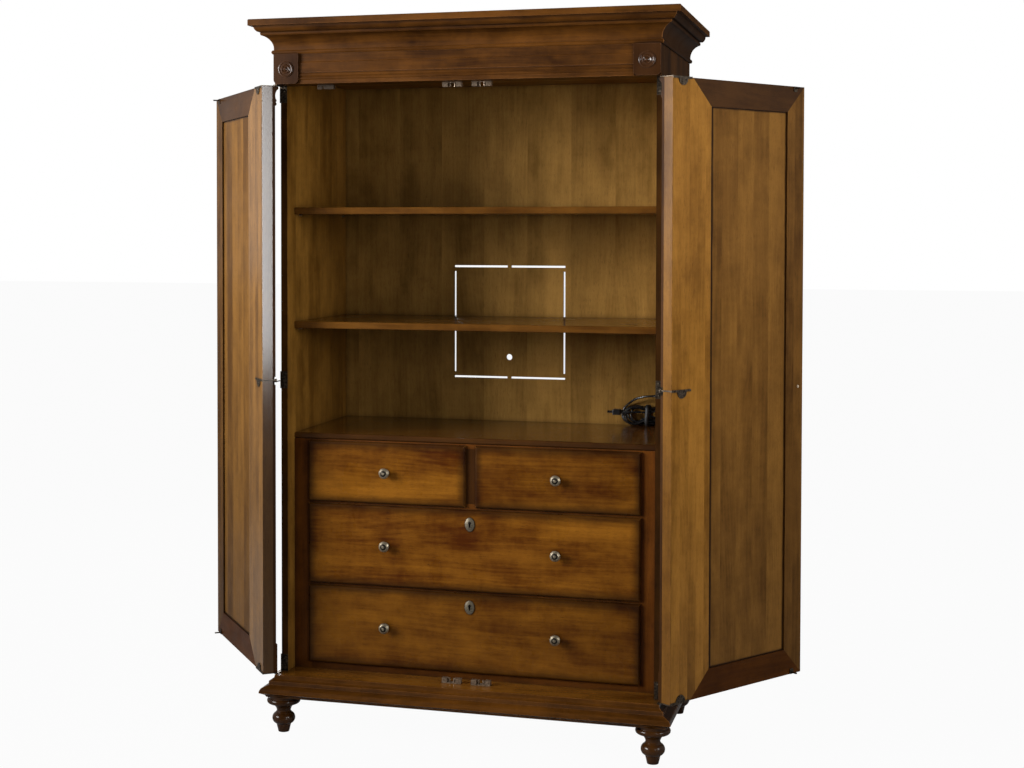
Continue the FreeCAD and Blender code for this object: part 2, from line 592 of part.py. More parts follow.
def drawer(name, left, right, floor, top, knobs, locked):
    """A drawer for the opening between left and right, floor and top, with knobs at these places."""
    lip_y = ("frame_setback - lip_proud", "frame_setback - lip_play")
    back_of_front = "frame_setback + front_wall"
    front = new_body(name + "_front")
    pad(front, "XZ", [rect(f"{left} - lip_side", f"{floor} - lip_edge", f"{right} + lip_side",
                           f"{top} + lip_edge")], *lip_y)
    dress(front, "Fillet", edges_in_plane(front, "Y", lip_y[0]), Radius="lip_round")
    pad(front, "XZ", [rect(f"{left} + front_play", f"{floor} + front_play", f"{right} - front_play",
                           f"{top} - front_play")], lip_y[1], back_of_front)
    middle, lock_up = f"({left} + {right}) / 2", f"({floor} + {top}) / 2 + lock_rise"
    if locked:
        pocket(front, "XZ", [keyhole(middle, lock_up)], f"{lip_y[0]} - 1", f"{back_of_front} + 1")
    keep(front)

    outer = (f"{left} + box_play", f"{right} - box_play")
    inner = (f"{outer[0]} + box_wall", f"{outer[1]} - box_wall")
    box_y = (back_of_front, f"{back_of_front} + box_length")
    box_floor, box_top = f"{floor} + run_play", f"{top} - box_drop"
    bottom_z = (f"{box_floor} + box_bottom_rise", f"{box_floor} + box_bottom_rise + box_bottom")
    group(name + "_box", [
        board("drawer_side", (outer[0], inner[0]), box_y, (box_floor, box_top)),
        board("drawer_side", (inner[1], outer[1]), box_y, (box_floor, box_top)),
        board("drawer_bottom", inner, box_y, bottom_z),
        board("drawer_back", inner, (f"{box_y[1]} - box_wall", box_y[1]),
              (bottom_z[1], f"{box_top} - box_back_drop")),
    ])

    fittings = []
    for across in knobs:
        fittings.append(place(knob("drawer_knob"), across, lip_y[0], f"({floor} + {top}) / 2 + knob_rise"))
    if locked:
        wide, tall = "plate_half_width * 0.7", "plate_half_height * 0.69"
        side_arc = f"(({tall}) ^ 2 + (plate_half_width * 0.3) ^ 2) / 2 / (plate_half_width * 0.3)"
        end_arc = f"(({wide}) ^ 2 + (plate_half_height * 0.31) ^ 2) / 2 / (plate_half_height * 0.31)"
        oval = [(wide, f"-({tall})", end_arc, 1), (wide, tall, side_arc, 1),
                (f"-({wide})", tall, end_arc, 1), (f"-({wide})", f"-({tall})", side_arc, 1)]
        plate = new_body("escutcheon", middle, "0", lock_up)
        pad(plate, "XZ", [oval, keyhole("0", "0")], f"{lip_y[0]} - plate_thick", lip_y[0])
        fittings.append(plate)
        fittings.append(board("lock_case", (f"{middle} - lock_half_width", f"{middle} + lock_half_width"),
                              (back_of_front, f"{back_of_front} + lock_depth"),
                              (f"{lock_up} - lock_height / 2", f"{lock_up} + lock_height / 2")))
    group(name + "_fittings", fittings)


half_divider = "divider_width / 2"
drawer("top_left_drawer", "-frame_half", f"-{half_divider}", "top_floor", "top_head", ["-knob_span"], False)
drawer("top_right_drawer", half_divider, "frame_half", "top_floor", "top_head", ["knob_span"], False)
for name, floor, top in (("middle_drawer", "mid_floor", "mid_head"),
                         ("bottom_drawer", "low_floor", "low_head")):
    drawer(name, "-frame_half", "frame_half", floor, top, ["-knob_span", "knob_span"], True)


# The doors are drawn in their own frame: the hinge's axis is the origin, Y runs from the pilaster's
# face to the inner face, and the leaf runs from the hinge towards way. hang() sets a piece on its axis.

def door(hand, way, swing):
    def across(distance):
        """The place at a distance from the door's hinged edge."""
        return f"{way} * (hinge_gap + {distance})"

    def span(near, far):
        """Two distances from the hinged edge as a low and a high place."""
        return (across(near), across(far)) if way > 0 else (across(far), across(near))

    def hang(thing):
        thing.Placement.Rotation = FreeCAD.Rotation(FreeCAD.Vector(0, 0, way), 360 - value(swing))
        bind(thing, "Placement.Rotation.Angle", f"(360 - {swing}) * 1 deg")
        place(thing, f"{-way} * hinge_across", "-hinge_forward")
        if thing not in nodes:
            keep(thing)

    def outline(corners):
        return [(across(corner[0]), *corner[1:]) for corner in corners]

    def member(name, corners):
        """One mitred piece of the frame, grooved for the panel and with its edges eased."""
        piece = new_body(f"{hand}_{name}")
        pad(piece, "XZ", [outline(corners)], "pilaster", "door_thick")
        dress(piece, "Chamfer", inner_edge(piece), Size="sticking")
        tongue = rect(across("frame_inner - panel_groove"), "door_bottom + door_frame - panel_groove",
                      across("door_width - door_frame + panel_groove"),
                      "door_top - door_frame + panel_groove")
        pocket(piece, "XZ", [tongue], "panel_front", "panel_back")
        return piece

    def inner_edge(piece):
        """The outer face's edge along the panel's opening."""
        low, high = value("door_bottom + door_frame"), value("door_top - door_frame")
        near, far = sorted((value(across("frame_inner")), value(across("door_width - door_frame"))))
        names = []
        for name in edges_in_plane(piece, "Y", "pilaster"):
            points = piece.Tip.Shape.Edges[int(name[4:]) - 1].Vertexes
            if all(near - 0.01 < p.X < far + 0.01 and low - 0.01 < p.Z < high + 0.01 for p in points):
                names.append(name)
        return names

    low, high = "door_bottom", "door_top"
    low_in, high_in = "door_bottom + door_frame", "door_top - door_frame"
    far, far_in = "door_width", "door_width - door_frame"
    hang(member("hinge_stile", [("0", low), ("0", high), ("hinge_post", high), ("frame_inner", high_in),
                                ("frame_inner", low_in), ("hinge_post", low)]))
    hang(member("meeting_stile", [(far, low), (far, high), (far_in, high_in), (far_in, low_in)]))
    hang(member("top_rail", [("hinge_post", high), (far, high), (far_in, high_in),
                             ("frame_inner", high_in)]))
    hang(member("bottom_rail", [("hinge_post", low), (far, low), (far_in, low_in),
                                ("frame_inner", low_in)]))

    panel = new_body(f"{hand}_panel")
    pad(panel, "XZ", [rect(across("frame_inner - panel_groove"), f"{low_in} - panel_groove",
                           across(f"{far_in} + panel_groove"), f"{high_in} + panel_groove")],
        "panel_front", "panel_back")
    pad(panel, "XZ", [rect(across("frame_inner + panel_field_play"), f"{low_in} + panel_field_play",
                           across(f"{far_in} - panel_field_play"), f"{high_in} - panel_field_play")],
        "panel_front - panel_field", "panel_front")
    dress(panel, "Chamfer", edges_in_plane(panel, "Y", "panel_front - panel_field"),
          Size="panel_field * 0.7", Size2="panel_bevel")
    hang(panel)

    pilaster = new_body(f"{hand}_pilaster")
    flutes = [(across("0"), "0")]
    for number in (-1, 0, 1):
        middle = f"pilaster_width / 2 + {number} * flute_pitch"
        flutes.append((across(f"{middle} - flute_width / 2"), "0"))
        flutes.append((across(f"{middle} + flute_width / 2"), "0", "flute_radius", -way))
    flutes += [(across("pilaster_width"), "0"), (across("pilaster_width"), "pilaster"),
               (across("0"), "pilaster")]
    pad(pilaster, "XY", [flutes], low, high)
    bead_top, cove_top = f"{high} - capital_height + 2 * capital_bead", f"{high} - capital_bead"
    capital = [("pilaster / 2", high), ("-capital_out", high),
               ("-capital_out", cove_top, "capital_bead * 0.6", 1), ("-capital_out + 1", cove_top),
               ("-2", f"{cove_top} - capital_cove", "capital_cove * 1.1", -1),
               ("-2", bead_top), ("-2", f"{bead_top} - capital_bead", "capital_bead * 0.6", 1),
               ("-2", f"{high} - capital_height", "capital_bead * 0.6", 1),
               ("pilaster / 2", f"{high} - capital_height")]
    pad(pilaster, "YZ", [capital], *span("0", "pilaster_width"))
    plinth_top = f"{low} + plinth_height"
    plinth = [("pilaster / 2", low), ("pilaster / 2", plinth_top), ("0", plinth_top),
              ("-plinth_out", f"{plinth_top} - plinth_out"), ("-plinth_out", low)]
    pad(pilaster, "YZ", [plinth], *span("0", "pilaster_width"))
    pocket(pilaster, "XY", [rect(across("-1"), "-1", across("knuckle_notch"), "pilaster + 1")],
           "door_middle - knuckle_notch_rise", "door_middle + knuckle_notch_rise")
    hang(pilaster)

    handle = knob(f"{hand}_handle")
    bind(handle, "Placement.Base.x", across("door_width - door_knob_inset"))
    bind(handle, "Placement.Base.y", "pilaster")
    bind(handle, "Placement.Base.z", "door_middle - door_knob_drop")
    hang(group(f"{hand}_knob", [handle]))

    def strap(eye_low, eye_high, band_low, lug_start, lug_way, leg):
        """A hinge's moving half: an eye, a leg over the door's edge and a band with a half-round lug."""
        hinge = new_body("strap")
        bind(hinge, "Placement.Base.y", "0")
        pad(hinge, "XY", [("0", "0", "eye_radius")], eye_low, eye_high)
        pad(hinge, "XY", [rect(across("-strap_plate"), "0", across(leg), "door_thick + strap_plate")],
            eye_low, eye_high)
        pad(hinge, "XY", [rect(across("0"), "door_thick", across("strap_reach"), "door_thick + strap_plate")],
            band_low, f"{band_low} + strap_band")
        lug_end = f"({lug_start}) + {lug_way} * lug_radius"
        turn_way = way * lug_way
        pad(hinge, "XZ", [[(across("lug_near"), lug_start),
                           (across("lug_near + 2 * lug_radius"), lug_start),
                           (across("lug_near + lug_radius"), lug_end, "lug_radius", turn_way),
                           (across("lug_near"), lug_start, "lug_radius", turn_way)][1:]],
            "door_thick", "door_thick + strap_plate")
        return pocket(hinge, "XY", [("0", "0", "pin_radius + pin_play")], f"{eye_low} - 1", f"{eye_high} + 1")

    def strike(floor, prong_floor):
        """The plate on the door's inner face and the prong that its catch takes hold of."""
        middle = "half_width - catch_span"
        plate = new_body("strike")
        bind(plate, "Placement.Base.y", "0")
        pad(plate, "XZ", [rect(across(f"{middle} - strike_half"), floor, across(f"{middle} + strike_half"),
                               f"{floor} + strike_height")], "door_thick", "door_thick + strap_plate")
        return pad(plate, "XZ", [rect(across(f"{middle} - prong_half"), prong_floor,
                                      across(f"{middle} + prong_half"), f"{prong_floor} + prong_height")],
                   "door_thick + strap_plate", "door_thick + strap_plate + prong_reach")

    band_top = f"{high} + strap_thick - strap_band"
    hang(group(f"{hand}_straps", [
        strap(high, f"{high} + strap_thick", band_top, band_top, -1, "strap_leg"),
        strap("door_middle", "door_middle + knuckle_height", "door_middle - 1", "door_middle - 1", -1, "0"),
        strap(f"{low} - strap_thick", low, f"{low} - strap_thick", f"{low} - strap_thick + strap_band", 1,
              "strap_leg"),
        strike(f"{high} - strike_height", f"{high} - prong_rise - prong_height"),
        strike(low, f"{low} + prong_rise"),
    ]))


door("right_door", -1, "right_swing")
door("left_door", 1, "left_swing")


# The case's half of the hinges: a leaf let into the side's edge, an arm and the pin, three on each side.

def hinge_leaves(label, way):
    def leaf(floor, arm_low, arm_high, near, far, pin_low, pin_high):
        hinge = new_body("hinge_leaf")
        plate = rect("inner_half", floor, "half_width + leaf_out", f"{floor} + leaf_height")
        pad(hinge, "XZ", [flipped(plate, way)], "0", "leaf_thick")
        arm = rect(near, "-hinge_forward - pin_radius", far, "leaf_thick")
        pad(hinge, "XY", [flipped(arm, way)], arm_low, arm_high)
        return pad(hinge, "XY", [(f"{way} * hinge_across", "-hinge_forward", "pin_radius")],
                   pin_low, pin_high)

    wide = ("hinge_across - eye_radius", "hinge_across + eye_radius")
    narrow = ("hinge_across - hinge_gap / 2", "half_width + leaf_out")
    top_arm = "door_top + strap_thick + turn_play"
    bottom_arm = "door_bottom - strap_thick - turn_play"
    middle_arm = "door_middle - turn_play"
    group(label, [
        leaf("head - leaf_height", top_arm, f"{top_arm} + arm_thick", *wide,
             "door_top + pin_stand_off", f"{top_arm} + arm_thick"),
        leaf("door_middle - leaf_height / 2", f"{middle_arm} - knuckle_height", middle_arm, *narrow,
             f"{middle_arm} - knuckle_height", "door_middle + knuckle_height + pin_radius"),
        leaf("ledge", f"{bottom_arm} - arm_thick", bottom_arm, *wide,
             f"{bottom_arm} - arm_thick", "door_bottom - pin_stand_off"),
    ])


hinge_leaves("hinge_leaves_left", -1)
hinge_leaves("hinge_leaves_right", 1)


# The double-roller catches in the case's mouth, and the stay with its stop under the head rail.

def catch(middle, seat, way):
    """A catch on a seat: a plate, two end blocks and two upright rollers that the prong goes between."""
    def heights(near, far):
        low, high = (near, far) if way > 0 else (f"-({far})", f"-({near})")
        return f"{seat} + {low}", f"{seat} + {high}"

    body = new_body("catch")
    y = ("catch_front", "catch_front + catch_deep")
    block_y = (f"{y[0]} + catch_lip", f"{y[1]} - catch_lip")
    pad(body, "XY", [rect(f"{middle} - catch_half", y[0], f"{middle} + catch_half", y[1])],
        *heights("0", "catch_plate"))
    left = rect(f"{middle} - catch_half", block_y[0], f"{middle} - catch_half + catch_block", block_y[1])
    right = rect(f"{middle} + catch_half - catch_block", block_y[0], f"{middle} + catch_half", block_y[1])
    rollers = [(f"{middle} + {side} * roller_span", "catch_front + catch_deep / 2", "roller_radius")
               for side in (-1, 1)]
    return pad(body, "XY", [left, right, *rollers], *heights("catch_plate", "catch_height"))


stay_y = ("catch_front", "catch_front + stay_depth")
group("door_catches", [catch(middle, seat, way) for middle in ("-catch_span", "catch_span")
                       for seat, way in (("head", -1), ("ledge", 1))] + [
    board("stay_plate", ("-stay_far", "-stay_near"), stay_y, ("head - stay_plate", "head")),
    board("stay_face", ("-stay_far", "-stay_far + stay_face"),
          (stay_y[0], f"{stay_y[0]} + stay_plate"), ("head - stay_drop", "head - stay_plate")),
    board("stop_block", ("-stay_far + stay_face + stay_gap", "-stay_near"), stay_y,
          ("head - stay_drop", "head - stay_plate")),
])


# The outlet on the right side wall, the lead from its gland, the hank that the lead is folded into,
# and the plug on its end. The lead's corners are steps from the gland's mouth, in millimetres.

LEAD = [(0, 0, 0), (-30, 0, 0), (-62, 8, -5), (-90, 22, -16), (-110, 36, -33), (-118, 41, -55)]
OUTLET_FACE = "inner_half - outlet_wide"


def outlet():
    back, floor = "back_in - outlet_back", "deck_top + outlet_rise"
    box = new_body("outlet")
    pad(box, "YZ", [rect(f"{back} - outlet_long", floor, back, f"{floor} + outlet_tall")],
        OUTLET_FACE, "inner_half")
    dress(box, "Fillet", edges_in_plane(box, "X", OUTLET_FACE), Radius="outlet_round")
    socket = f"{back} - outlet_long + outlet_round"
    recesses = [rect(f"{socket} + outlet_face", f"{floor} + {low} * outlet_tall",
                     f"{socket} + outlet_face + socket_side", f"{floor} + {low} * outlet_tall + socket_side")
                for low in (0.15, 0.55)]
    pocket(box, "YZ", recesses, f"{OUTLET_FACE} - 1", f"{OUTLET_FACE} + socket_depth")
    gland = doc.addObject("Part::Cone", "gland")
    gland.Placement.Rotation = FreeCAD.Rotation(FreeCAD.Vector(0, 1, 0), -90)
    bind(gland, "Radius1", "gland_radius")
    bind(gland, "Radius2", "gland_end_radius")
    bind(gland, "Height", "gland_length")
    group("outlet_box", [box, place(gland, OUTLET_FACE, "gland_back", "gland_up")])


def tube_path(points):
    """Straight runs joined by tangent arcs, each as large as 0.45 of the shorter run allows."""
    edges, here = [], points[0]
    for before, corner, after in zip(points, points[1:], points[2:]):
        into, out = corner - before, after - corner
        half_turn = into.getAngle(out) / 2
        trim = 0.45 * min(into.Length, out.Length)
        into, out = into / into.Length, out / out.Length
        radius = trim / math.tan(half_turn)
        start, end = corner - into * trim, corner + out * trim
        inward = (out - into) / (out - into).Length
        middle = corner + inward * (radius / math.cos(half_turn) - radius)
        edges += [Part.LineSegment(here, start).toShape(), Part.Arc(start, middle, end).toShape()]
        here = end
        print(f"lead arc radius {radius:.0f}")
    return Part.Wire(edges + [Part.LineSegment(here, points[-1]).toShape()])


def cord_lead():
    exit_place = [value(text) for text in (f"{OUTLET_FACE} - gland_length", "gland_back", "gland_up")]
    path = tube_path([FreeCAD.Vector(*exit_place) + FreeCAD.Vector(*step) for step in LEAD])
    ring = Part.Circle(path.Vertexes[0].Point, FreeCAD.Vector(*LEAD[1]), value("cord_diameter / 2"))
    lead = doc.addObject("Part::Feature", "cord_lead")
    lead.Shape = path.makePipeShell([Part.Wire(ring.toShape())], True, True)
    section = math.pi * value("cord_diameter / 2") ** 2
    print(f"lead volume {lead.Shape.Volume:.0f}, section by length {section * path.Length:.0f}")
    keep(place(lead))


def hank():
    left, right = "hank_left", "hank_left + hank_length"
    radius, low, high = "hank_height / 2", "deck_top", "deck_top + hank_height"
    outline = [(f"{left} + {radius}", low), (f"{right} - {radius}", low),
               (right, f"{low} + {radius}", radius, 1), (f"{right} - {radius}", high, radius, 1),
               (f"{left} + {radius}", high), (left, f"{low} + {radius}", radius, 1),
               (f"{left} + {radius}", low, radius, 1)][1:]
    coil = pad(new_body("cord_hank"), "XZ", [outline], "hank_front", "hank_back")
    faces = edges_in_plane(coil, "Y", "hank_front") + edges_in_plane(coil, "Y", "hank_back")
    keep(dress(coil, "Fillet", faces, Radius="hank_round"))


def plug():
    body = new_body("plug", "hank_left + 3", "hank_front + 2.7", "deck_top + 45")
    section = rect("-plug_half * 1.2", "-plug_half", "plug_half * 1.2", "plug_half")
    pad(body, "YZ", [section], "-plug_long", "0")
    ends = edges_in_plane(body, "X", "-plug_long") + edges_in_plane(body, "X", "0")
    dress(body, "Fillet", ends, Radius="plug_round")
    blades = [rect(f"{side} * blade_span - blade_thick / 2", "-blade_high / 2",
                   f"{side} * blade_span + blade_thick / 2", "blade_high / 2") for side in (-1, 1)]
    keep(pad(body, "YZ", blades, "-plug_long - blade_long", "-plug_long"))


outlet()
cord_lead()
hank()
plug()


# Nothing is written until every feature has solved and every sub-part is a sound solid.

doc.recompute()
failed = [item.Label for item in doc.Objects if {"Invalid", "Error"} & set(item.State)]
failed += [node.Label for node in nodes if node.Shape.isNull() or not node.Shape.isValid()]
if failed:
    raise ValueError("failed: " + ", ".join(failed))
os.makedirs("parts", exist_ok=True)
for node in nodes:
    node.Shape.exportStep(f"parts/{node.Label}.step")
print(len(nodes), "sub-parts")
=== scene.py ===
import math
import zlib

import bmesh
import bpy
from mathutils import Matrix, Vector


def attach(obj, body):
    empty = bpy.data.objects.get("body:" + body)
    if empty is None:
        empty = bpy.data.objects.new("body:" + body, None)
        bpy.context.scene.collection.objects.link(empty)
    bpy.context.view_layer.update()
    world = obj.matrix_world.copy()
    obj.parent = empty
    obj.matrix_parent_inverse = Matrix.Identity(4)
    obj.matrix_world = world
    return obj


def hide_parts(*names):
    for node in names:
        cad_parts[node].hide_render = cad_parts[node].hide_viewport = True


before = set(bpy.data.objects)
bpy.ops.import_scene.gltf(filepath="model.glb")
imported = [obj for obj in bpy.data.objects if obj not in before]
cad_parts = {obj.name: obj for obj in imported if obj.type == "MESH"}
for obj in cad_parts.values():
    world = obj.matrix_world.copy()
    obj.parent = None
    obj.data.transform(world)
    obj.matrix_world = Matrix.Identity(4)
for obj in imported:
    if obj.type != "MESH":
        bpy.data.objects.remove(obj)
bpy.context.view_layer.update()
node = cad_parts

# ---------------------------------------------------------------------------------------------
# The case's sides: boards of maple edge-glued from strips, grain upright, stained and lacquered
# to a satin gloss. Their outer faces and front edges carry a deeper stain than the inside.

ALONG_X, ALONG_Y, UPRIGHT = Vector((1, 0, 0)), Vector((0, 1, 0)), Vector((0, 0, 1))


def put(tree, kind, sockets=None, **settings):
    """Add a shader node. Each socket takes a number, a colour or another node's output."""
    made = tree.nodes.new("ShaderNode" + kind)
    for name, setting in settings.items():
        setattr(made, name, setting)
    for name, given in (sockets or {}).items():
        if isinstance(given, bpy.types.NodeSocket):
            tree.links.new(given, made.inputs[name])
        else:
            made.inputs[name].default_value = given
    return made


def reckon(tree, operation, first, second=0.5, clamp=False):
    """One sum on two numbers."""
    return put(tree, "Math", {0: first, 1: second}, operation=operation, use_clamp=clamp).outputs[0]


def reckon_vector(tree, operation, first, second):
    """One sum on two vectors."""
    return put(tree, "VectorMath", {0: first, 1: second}, operation=operation).outputs[0]


def ranged(tree, given, low, high, new_low=0.0, new_high=1.0, kind="SMOOTHSTEP"):
    """Carry a number from one range to another, held at both ends."""
    sockets = {0: given, 1: low, 2: high, 3: new_low, 4: new_high}
    return put(tree, "MapRange", sockets, interpolation_type=kind).outputs[0]


def noise(tree, vector, scale, detail=2.0, roughness=0.5):
    """Soft noise whose scale is given for each axis, in turns a metre."""
    stretched = reckon_vector(tree, "MULTIPLY", vector, scale)
    sockets = {"Vector": stretched, "Scale": 1.0, "Detail": detail, "Roughness": roughness}
    return put(tree, "TexNoise", sockets).outputs["Fac"]


def mixed_colour(tree, share, first, second):
    """Two colours mixed, from the first alone at a share of 0 to the second alone at 1."""
    sockets = {"Factor": share}
    for number, given in ((6, first), (7, second)):
        sockets[number] = given if isinstance(given, bpy.types.NodeSocket) else (*given, 1)
    return put(tree, "Mix", sockets, data_type="RGBA").outputs[2]


def raise_surface(tree, shader, height, strength, distance):
    """Let a height show as relief."""
    relief = put(tree, "Bump", {"Height": height, "Strength": strength, "Distance": distance}).outputs[0]
    tree.links.new(relief, shader["Normal"])


def place_of(tree):
    """The X, Y and Z of a point on the object, in metres."""
    return put(tree, "SeparateXYZ", {0: put(tree, "TexCoord").outputs["Object"]}).outputs


def new_group(name, inputs, outputs):
    """A shader node group with these sockets: its tree, the inputs inside it and the outputs inside it."""
    tree = bpy.data.node_groups.new(name, "ShaderNodeTree")
    for way, sockets in (("INPUT", inputs), ("OUTPUT", outputs)):
        for label, kind in sockets.items():
            tree.interface.new_socket(label, in_out=way, socket_type="NodeSocket" + kind)
    return tree, tree.nodes.new("NodeGroupInput").outputs, tree.nodes.new("NodeGroupOutput").inputs


def use(tree, group, **sockets):
    """Place a node group in a tree and return its outputs. Spaces in socket names are written as _."""
    named = {name.replace("_", " "): given for name, given in sockets.items()}
    return put(tree, "Group", named, node_tree=group).outputs


def make_figure():
    """Maple's figure: bands, growth lines, curl, fibres and pores, with a change of tone by the strip."""
    sockets = {"Place": "Vector", "Strip": "Float", "Strip Tone": "Float"}
    results = {"Tone": "Float", "Pores": "Float", "Height": "Float"}
    tree, given, out = new_group("maple figure", sockets, results)
    across = put(tree, "SeparateXYZ", {0: given["Place"]}).outputs["Y"]
    strip = reckon(tree, "FLOOR", reckon(tree, "DIVIDE", across, given["Strip"]))
    chance = put(tree, "TexWhiteNoise", {"W": strip}, noise_dimensions="1D").outputs
    shift = reckon_vector(tree, "MULTIPLY", chance["Color"], (7.0, 0.0, 5.0))
    place = reckon_vector(tree, "ADD", given["Place"], shift)
    wander = noise(tree, place, (1.6, 5.0, 5.0), 1.0)
    bend = put(tree, "CombineXYZ", {"Y": reckon(tree, "MULTIPLY", wander, 0.05)}).outputs[0]
    wavy = reckon_vector(tree, "ADD", place, bend)
    broad = noise(tree, wavy, (1.3, 9.0, 9.0), 2.0)
    field = noise(tree, wavy, (0.7, 5.5, 5.5), 0.0)
    lines = reckon(tree, "SINE", reckon(tree, "MULTIPLY", field, 150.0))
    streak = noise(tree, wavy, (3.0, 110.0, 110.0), 3.0, 0.6)
    fibre = noise(tree, wavy, (22.0, 620.0, 620.0), 2.0)
    curl = noise(tree, place, (48.0, 20.0, 20.0), 3.0, 0.6)
    cloud = noise(tree, place, (9.0, 15.0, 15.0), 3.0, 0.55)
    tone = 0.0
    for part, share in ((ranged(tree, broad, 0.27, 0.73), 0.38), (ranged(tree, cloud, 0.25, 0.75), 0.28),
                        (ranged(tree, streak, 0.3, 0.7), 0.12), (ranged(tree, lines, -1.0, 1.0), 0.05),
                        (fibre, 0.15), (ranged(tree, curl, 0.3, 0.7), 0.06)):
        tone = reckon(tree, "ADD", tone, reckon(tree, "MULTIPLY", part, share))
    step = reckon(tree, "MULTIPLY", reckon(tree, "SUBTRACT", chance["Value"], 0.5), given["Strip Tone"])
    tone = ranged(tree, reckon(tree, "ADD", tone, step), 0.2, 0.78, kind="LINEAR")
    tree.links.new(tone, out["Tone"])
    pores = noise(tree, wavy, (55.0, 1500.0, 1500.0), 1.0)
    tree.links.new(ranged(tree, pores, 0.62, 0.72), out["Pores"])
    ridges = reckon(tree, "MULTIPLY", streak, 0.5)
    tree.links.new(reckon(tree, "ADD", ridges, reckon(tree, "MULTIPLY", fibre, 0.5)), out["Height"])
    return tree


def make_border():
    """How near a point is to a board's edges, with rounded corners: 1 at an edge, 0 past the border."""
    sockets = {"Place": "Vector", "Low": "Vector", "High": "Vector", "Width": "Float", "Soft": "Float"}
    tree, given, out = new_group("rubbed border", sockets, {"Border": "Float"})
    from_low = reckon_vector(tree, "SUBTRACT", given["Place"], given["Low"])
    from_high = reckon_vector(tree, "SUBTRACT", given["High"], given["Place"])
    nearest = put(tree, "SeparateXYZ", {0: reckon_vector(tree, "MINIMUM", from_low, from_high)}).outputs
    uneven = reckon(tree, "SUBTRACT", noise(tree, given["Place"], (9.0, 9.0, 9.0), 3.0), 0.5)
    uneven = reckon(tree, "MULTIPLY", reckon(tree, "MULTIPLY", uneven, given["Soft"]), 1.2)
    width = reckon(tree, "MULTIPLY", given["Width"], reckon(tree, "ADD", uneven, 1.0))
    squares = []
    for axis in "XY":
        near = reckon(tree, "SUBTRACT", 1.0, reckon(tree, "DIVIDE", nearest[axis], width), True)
        squares.append(reckon(tree, "MULTIPLY", near, near))
    rounded = reckon(tree, "SQRT", reckon(tree, "ADD", *squares))
    tree.links.new(ranged(tree, rounded, 0.0, given["Soft"]), out["Border"])
    return tree


def make_shade_and_glaze():
    """A piece's hollows, darkened by ambient occlusion as glaze and painted shade, and its arrises."""
    tree, given, out = new_group("wiped glaze", {"Reach": "Float"}, {"Hollow": "Float", "Arris": "Float"})
    open_share = put(tree, "AmbientOcclusion", {"Distance": given["Reach"]}, samples=6).outputs["AO"]
    place = put(tree, "TexCoord").outputs["Object"]
    patches = ranged(tree, noise(tree, place, (11.0, 11.0, 11.0), 3.0), 0.3, 0.7, 0.6, 1.0)
    # Glaze and painted shade: darker where ambient occlusion finds a hollow or a gap between parts.
    hollow = ranged(tree, open_share, 0.35, 0.95, 1.0, 0.0)
    tree.links.new(reckon(tree, "MULTIPLY", hollow, patches), out["Hollow"])
    bevel = put(tree, "Bevel", {"Radius": 0.0025}, samples=4).outputs[0]
    flat = put(tree, "NewGeometry").outputs["Normal"]
    same = put(tree, "VectorMath", {0: bevel, 1: flat}, operation="DOT_PRODUCT").outputs["Value"]
    arris = ranged(tree, same, 0.8, 0.995, 1.0, 0.0)
    tree.links.new(reckon(tree, "MULTIPLY", arris, patches), out["Arris"])
    return tree


def make_inside():
    """1 inside a box and inside its mirror image in the middle of the object, and 0 elsewhere."""
    tree, given, out = new_group("inside a box", {"Low": "Vector", "High": "Vector"}, {"Inside": "Float"})
    parts = place_of(tree)
    aside = reckon(tree, "ABSOLUTE", parts["X"])
    folded = put(tree, "CombineXYZ", {"X": aside, "Y": parts["Y"], "Z": parts["Z"]}).outputs[0]
    above = reckon_vector(tree, "SUBTRACT", folded, given["Low"])
    below = reckon_vector(tree, "SUBTRACT", given["High"], folded)
    parts = put(tree, "SeparateXYZ", {0: reckon_vector(tree, "MINIMUM", above, below)}).outputs
    least = reckon(tree, "MINIMUM", reckon(tree, "MINIMUM", parts["X"], parts["Y"]), parts["Z"])
    tree.links.new(reckon(tree, "GREATER_THAN", least, 0.0), out["Inside"])
    return tree


figure_group, border_group = make_figure(), make_border()
shade_and_glaze_group, inside_group = make_shade_and_glaze(), make_inside()


def new_material(name):
    """A material with one Principled shader: its tree and the shader's inputs."""
    made = bpy.data.materials.new(name)
    made.use_nodes = True
    tree = made.node_tree
    return made, tree, tree.nodes["Principled BSDF"].inputs


def to_board(along, across):
    """The turn that takes model axes to a board's own: along the grain, across it and through the board."""
    return Matrix((along, across, along.cross(across)))


